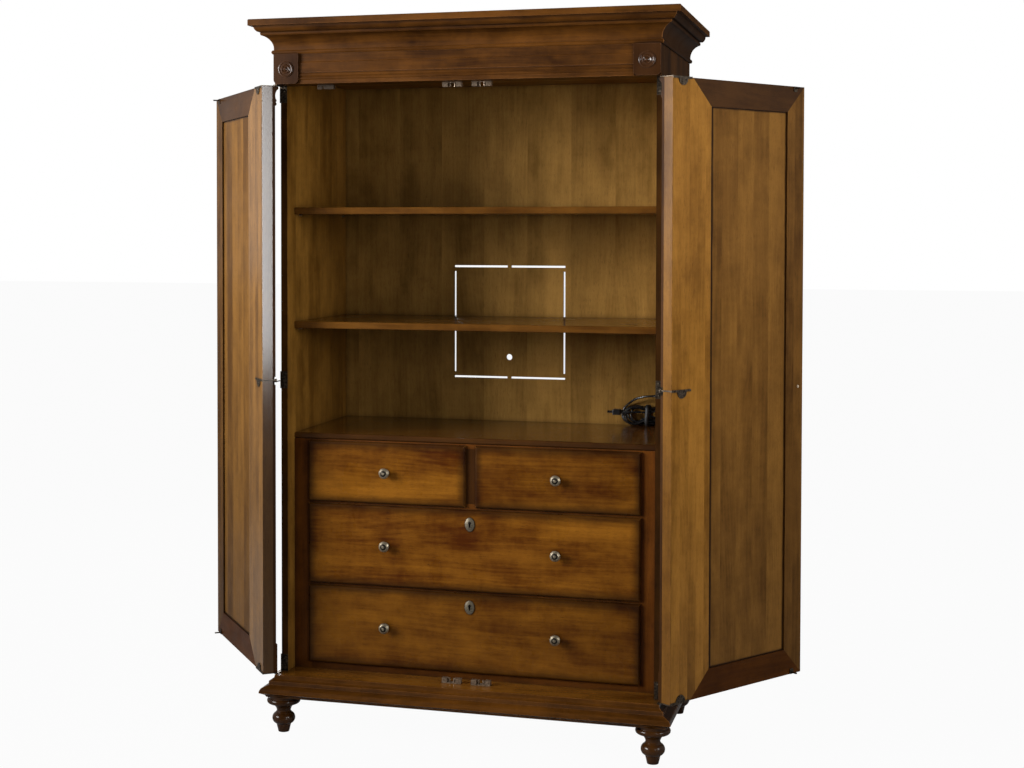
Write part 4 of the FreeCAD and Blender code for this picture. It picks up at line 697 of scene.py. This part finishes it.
route = [GLAND + Vector(step) for step in LEAD]
for number, (turn, following) in enumerate(zip(TURNS, TURNS[1:])):
    left, right, left_radius, right_radius, rise, lift, sag = turn
    low, next_low = DECK_TOP + OVER_DECK + rise, DECK_TOP + OVER_DECK + following[4]
    left_middle, right_middle = left + left_radius, right - right_radius
    left_height, right_height = low + left_radius, low + right_radius
    next_middle, next_radius = following[0] + following[2], following[2]
    around = [
        (left_middle - BEND_CORNER * left_radius, left_height + BEND_CORNER * left_radius),
        (left_middle - BEND_END * left_radius, left_height),
        (left_middle - BEND_CORNER * left_radius, left_height - BEND_CORNER * left_radius),
        (left_middle + 0.006, left_height - BEND_TOP * left_radius),
        ((left_middle + right_middle) / 2, low + lift),
        (right_middle - 0.006, right_height - BEND_TOP * right_radius),
        (right_middle + BEND_CORNER * right_radius, right_height - BEND_CORNER * right_radius),
        (right_middle + BEND_END * right_radius, right_height),
        (right_middle + BEND_CORNER * right_radius, right_height + BEND_CORNER * right_radius),
        (right_middle - 0.006, right_height + BEND_TOP * right_radius),
        ((next_middle + right_middle) / 2, (low + next_low) / 2 + right_radius + next_radius - sag),
        (next_middle + 0.006, next_low + (1 + BEND_TOP) * next_radius),
    ]
    if turn is TURNS[-2]:
        around[10:] = [((left_middle + right_middle) / 2 + 0.01, TAIL[0][1])]
    for step, (across, up) in enumerate(around):
        route.append(Vector((across, FIRST_TURN - PITCH * (number + step / 12), up)))
route += [Vector((across, PLUG_ENTRY.y, up)) for across, up in TAIL]

flex = bpy.data.curves.new("cord", "CURVE")
flex.dimensions = "3D"
flex.bevel_depth = FLEX_RADIUS
flex.bevel_resolution = 4
flex.resolution_u = 8
flex.use_fill_caps = True
line = flex.splines.new("NURBS")
line.points.add(len(route) - 1)
for point, here in zip(line.points, route):
    point.co = (*here, 1)
line.order_u = 3
line.use_endpoint_u = True
flex.materials.append(moulded("black flex", (0.004, 0.004, 0.0045), 0.25, bump=0.05, coat=0.1))
cord = add_object("cord", flex)
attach(cord, "case")
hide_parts("cord_lead", "cord_hank")

RIBS, SLEEVE_TIP, SLEEVE_SEAT = 5, 0.0042, Vector((0.002, 0, 0))
black_sleeve = moulded("black sleeve", (0.006, 0.006, 0.0065), 0.35)


def tapered_sleeve(name, start, along, length, thick):
    """A moulded sleeve with ribs that stiffens the flex where it enters something."""
    taper = SLEEVE_TIP - thick
    outline = [(0.0, 0.0), (0.0, thick)]
    for rib in range(RIBS):
        near, far = (rib + 0.25) / RIBS, (rib + 0.75) / RIBS
        radius = thick + taper * near
        outline += [(length * near, radius), (length * (near + 0.04), radius - 0.0007),
                    (length * (far - 0.04), radius - 0.0009), (length * far, thick + taper * far)]
    outline += [(length * 0.98, SLEEVE_TIP), (length, SLEEVE_TIP - 0.0004), (length, 0.0)]
    made = turned(name, outline, start, along, black_sleeve)
    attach(made, "case")
    return made


gland_sleeve = tapered_sleeve("gland_sleeve", GLAND + SLEEVE_SEAT, (-1, 0.017, -0.011), 0.022, 0.0062)
plug_sleeve = tapered_sleeve("plug_sleeve", PLUG_ENTRY - SLEEVE_SEAT, (1, 0, 0), 0.028, 0.0066)

# The tie is a soft strap, wrapped once round the hank and lapped over itself.
TIE_X, TIE_Y, TIE_Z = 0.462, 0.2982, 0.9390
TIE_WIDTH, TIE_HALF_DEPTH, TIE_HALF_HEIGHT, TIE_SQUARENESS = 0.013, 0.0224, 0.0333, 3.2
TIE_STEPS, STEPS_ROUND, LAP_START = 49, 44, 43
shape = bmesh.new()
loops = []
for step in range(TIE_STEPS):
    turn = 2 * math.pi * step / STEPS_ROUND
    outward = 0.0004 + 0.0012 * max(0, step - LAP_START) / 5
    cross, rise = math.cos(turn), math.sin(turn)
    squared = (abs(cross) ** TIE_SQUARENESS + abs(rise) ** TIE_SQUARENESS) ** (-1 / TIE_SQUARENESS)
    over = outward * (rise > 0)
    depths = [(TIE_HALF_DEPTH + skin + outward) * squared * cross for skin in (0.0, 0.0011)]
    heights = [(TIE_HALF_HEIGHT + skin + over) * squared * rise for skin in (-0.0006, 0.0004)]
    wave = 0.0012 * math.sin(3 * turn)
    loop = []
    for side, skin in ((-1, 0), (-1, 1), (1, 1), (1, 0)):
        across = TIE_X + side * TIE_WIDTH / 2 + wave
        loop.append(shape.verts.new((across, TIE_Y + depths[skin], TIE_Z + heights[skin])))
    loops.append(loop)
for first, second in zip(loops, loops[1:]):
    for corner in range(4):
        following = (corner + 1) % 4
        shape.faces.new([first[corner], second[corner], second[following], first[following]])
shape.faces.new(loops[0])
shape.faces.new(loops[-1][::-1])
black_strap = moulded("black strap", (0.008, 0.008, 0.0085), 0.55, bump=0.4, scale=1400.0)
hank_tie = add_piece("hank_tie", shape, black_strap)
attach(hank_tie, "case")
finish_with(moulded("black plug", (0.006, 0.006, 0.0065), 0.3), "plug")

# ---------------------------------------------------------------------------------------------
# The stage: a pale floor and backdrop, and soft light from the upper left, with weaker lamps at
# the right, a narrow one in front and one behind.

FLOOR_REACH, FLOOR_GLOW = 40, 0.96
floor_paint, tree, shader = new_material("pale floor")
shader["Base Color"].default_value = (0.36, 0.36, 0.36, 1)
shader["Roughness"].default_value = 0.7
shader["Specular IOR Level"].default_value = 0.1
seen = reckon(tree, "MULTIPLY", put(tree, "LightPath").outputs["Is Camera Ray"], FLOOR_GLOW)
white = put(tree, "Emission", {"Color": (1, 1, 1, 1), "Strength": 1.0}).outputs[0]
painted = tree.nodes["Principled BSDF"].outputs[0]
mixed = put(tree, "MixShader", {0: seen, 1: painted, 2: white}).outputs[0]
tree.links.new(mixed, tree.nodes["Material Output"].inputs["Surface"])
floor_mesh = bpy.data.meshes.new("floor")
floor_corners = [(FLOOR_REACH * x, FLOOR_REACH * y, 0) for x, y in ((-1, -1), (1, -1), (1, 1), (-1, 1))]
floor_mesh.from_pydata(floor_corners, [], [(0, 1, 2, 3)])
floor_mesh.materials.append(floor_paint)
floor = add_object("floor", floor_mesh)

world = bpy.data.worlds.new("studio")
bpy.context.scene.world = world
world.use_nodes = True
sky = world.node_tree
path = put(sky, "LightPath").outputs
way = put(sky, "SeparateXYZ", {0: put(sky, "TexCoord").outputs["Generated"]}).outputs
aside = ranged(sky, reckon(sky, "ABSOLUTE", way["X"]), 0.3, 0.85, 0.03, 0.3)
strength = put(sky, "Mix", {0: path["Is Glossy Ray"], 2: 0.21, 3: aside}).outputs[0]
direct = reckon(sky, "MAXIMUM", path["Is Camera Ray"], path["Is Transmission Ray"])
strength = put(sky, "Mix", {0: direct, 2: strength, 3: 1.0}).outputs[0]
sky.nodes["Background"].inputs["Color"].default_value = (1, 1, 1, 1)
sky.links.new(strength, sky.nodes["Background"].inputs["Strength"])


def lamp(name, place, aim, width, height, power, beam):
    """A soft lamp with a square front and a grid, turned to face a point."""
    light = bpy.data.lights.new(name, "AREA")
    light.shape, light.size, light.size_y, light.energy = "RECTANGLE", width, height, power
    light.spread = math.radians(beam)
    made = add_object(name, light)
    made.location = place
    made.rotation_euler = (Vector(aim) - Vector(place)).to_track_quat("-Z", "Y").to_euler()


lamp("key", (-3.25, -2.4, 2.2), (0.55, 0.0, 1.5), 2.0, 1.7, 39.0, 60)
lamp("fill", (3.7, -1.5, 2.1), (0.6, 0.0, 1.8), 0.9, 1.5, 12.5, 80)
lamp("strip", (2.09, -2.5, 1.6), (-0.6, -0.25, 1.85), 0.22, 1.5, 5.6, 90)
lamp("back", (-2.4, 4.4, 2.8), (0.0, 0.3, 1.1), 2.0, 1.6, 50.0, 110)

# ---------------------------------------------------------------------------------------------
# The camera stands to the right of the middle at head height and looks a little down and left.

view = bpy.data.cameras.new("camera")
view.lens, view.sensor_width = 58.77, 36.0
view.shift_x, view.shift_y = 0.0677, -0.1022
camera = add_object("camera", view)
camera.location = (1.2855, -4.9953, 1.5274)
camera.rotation_euler = (math.pi / 2 - 0.029, -0.001, 0.277)
bpy.context.scene.camera = camera
bpy.context.scene.view_settings.view_transform = "Standard"
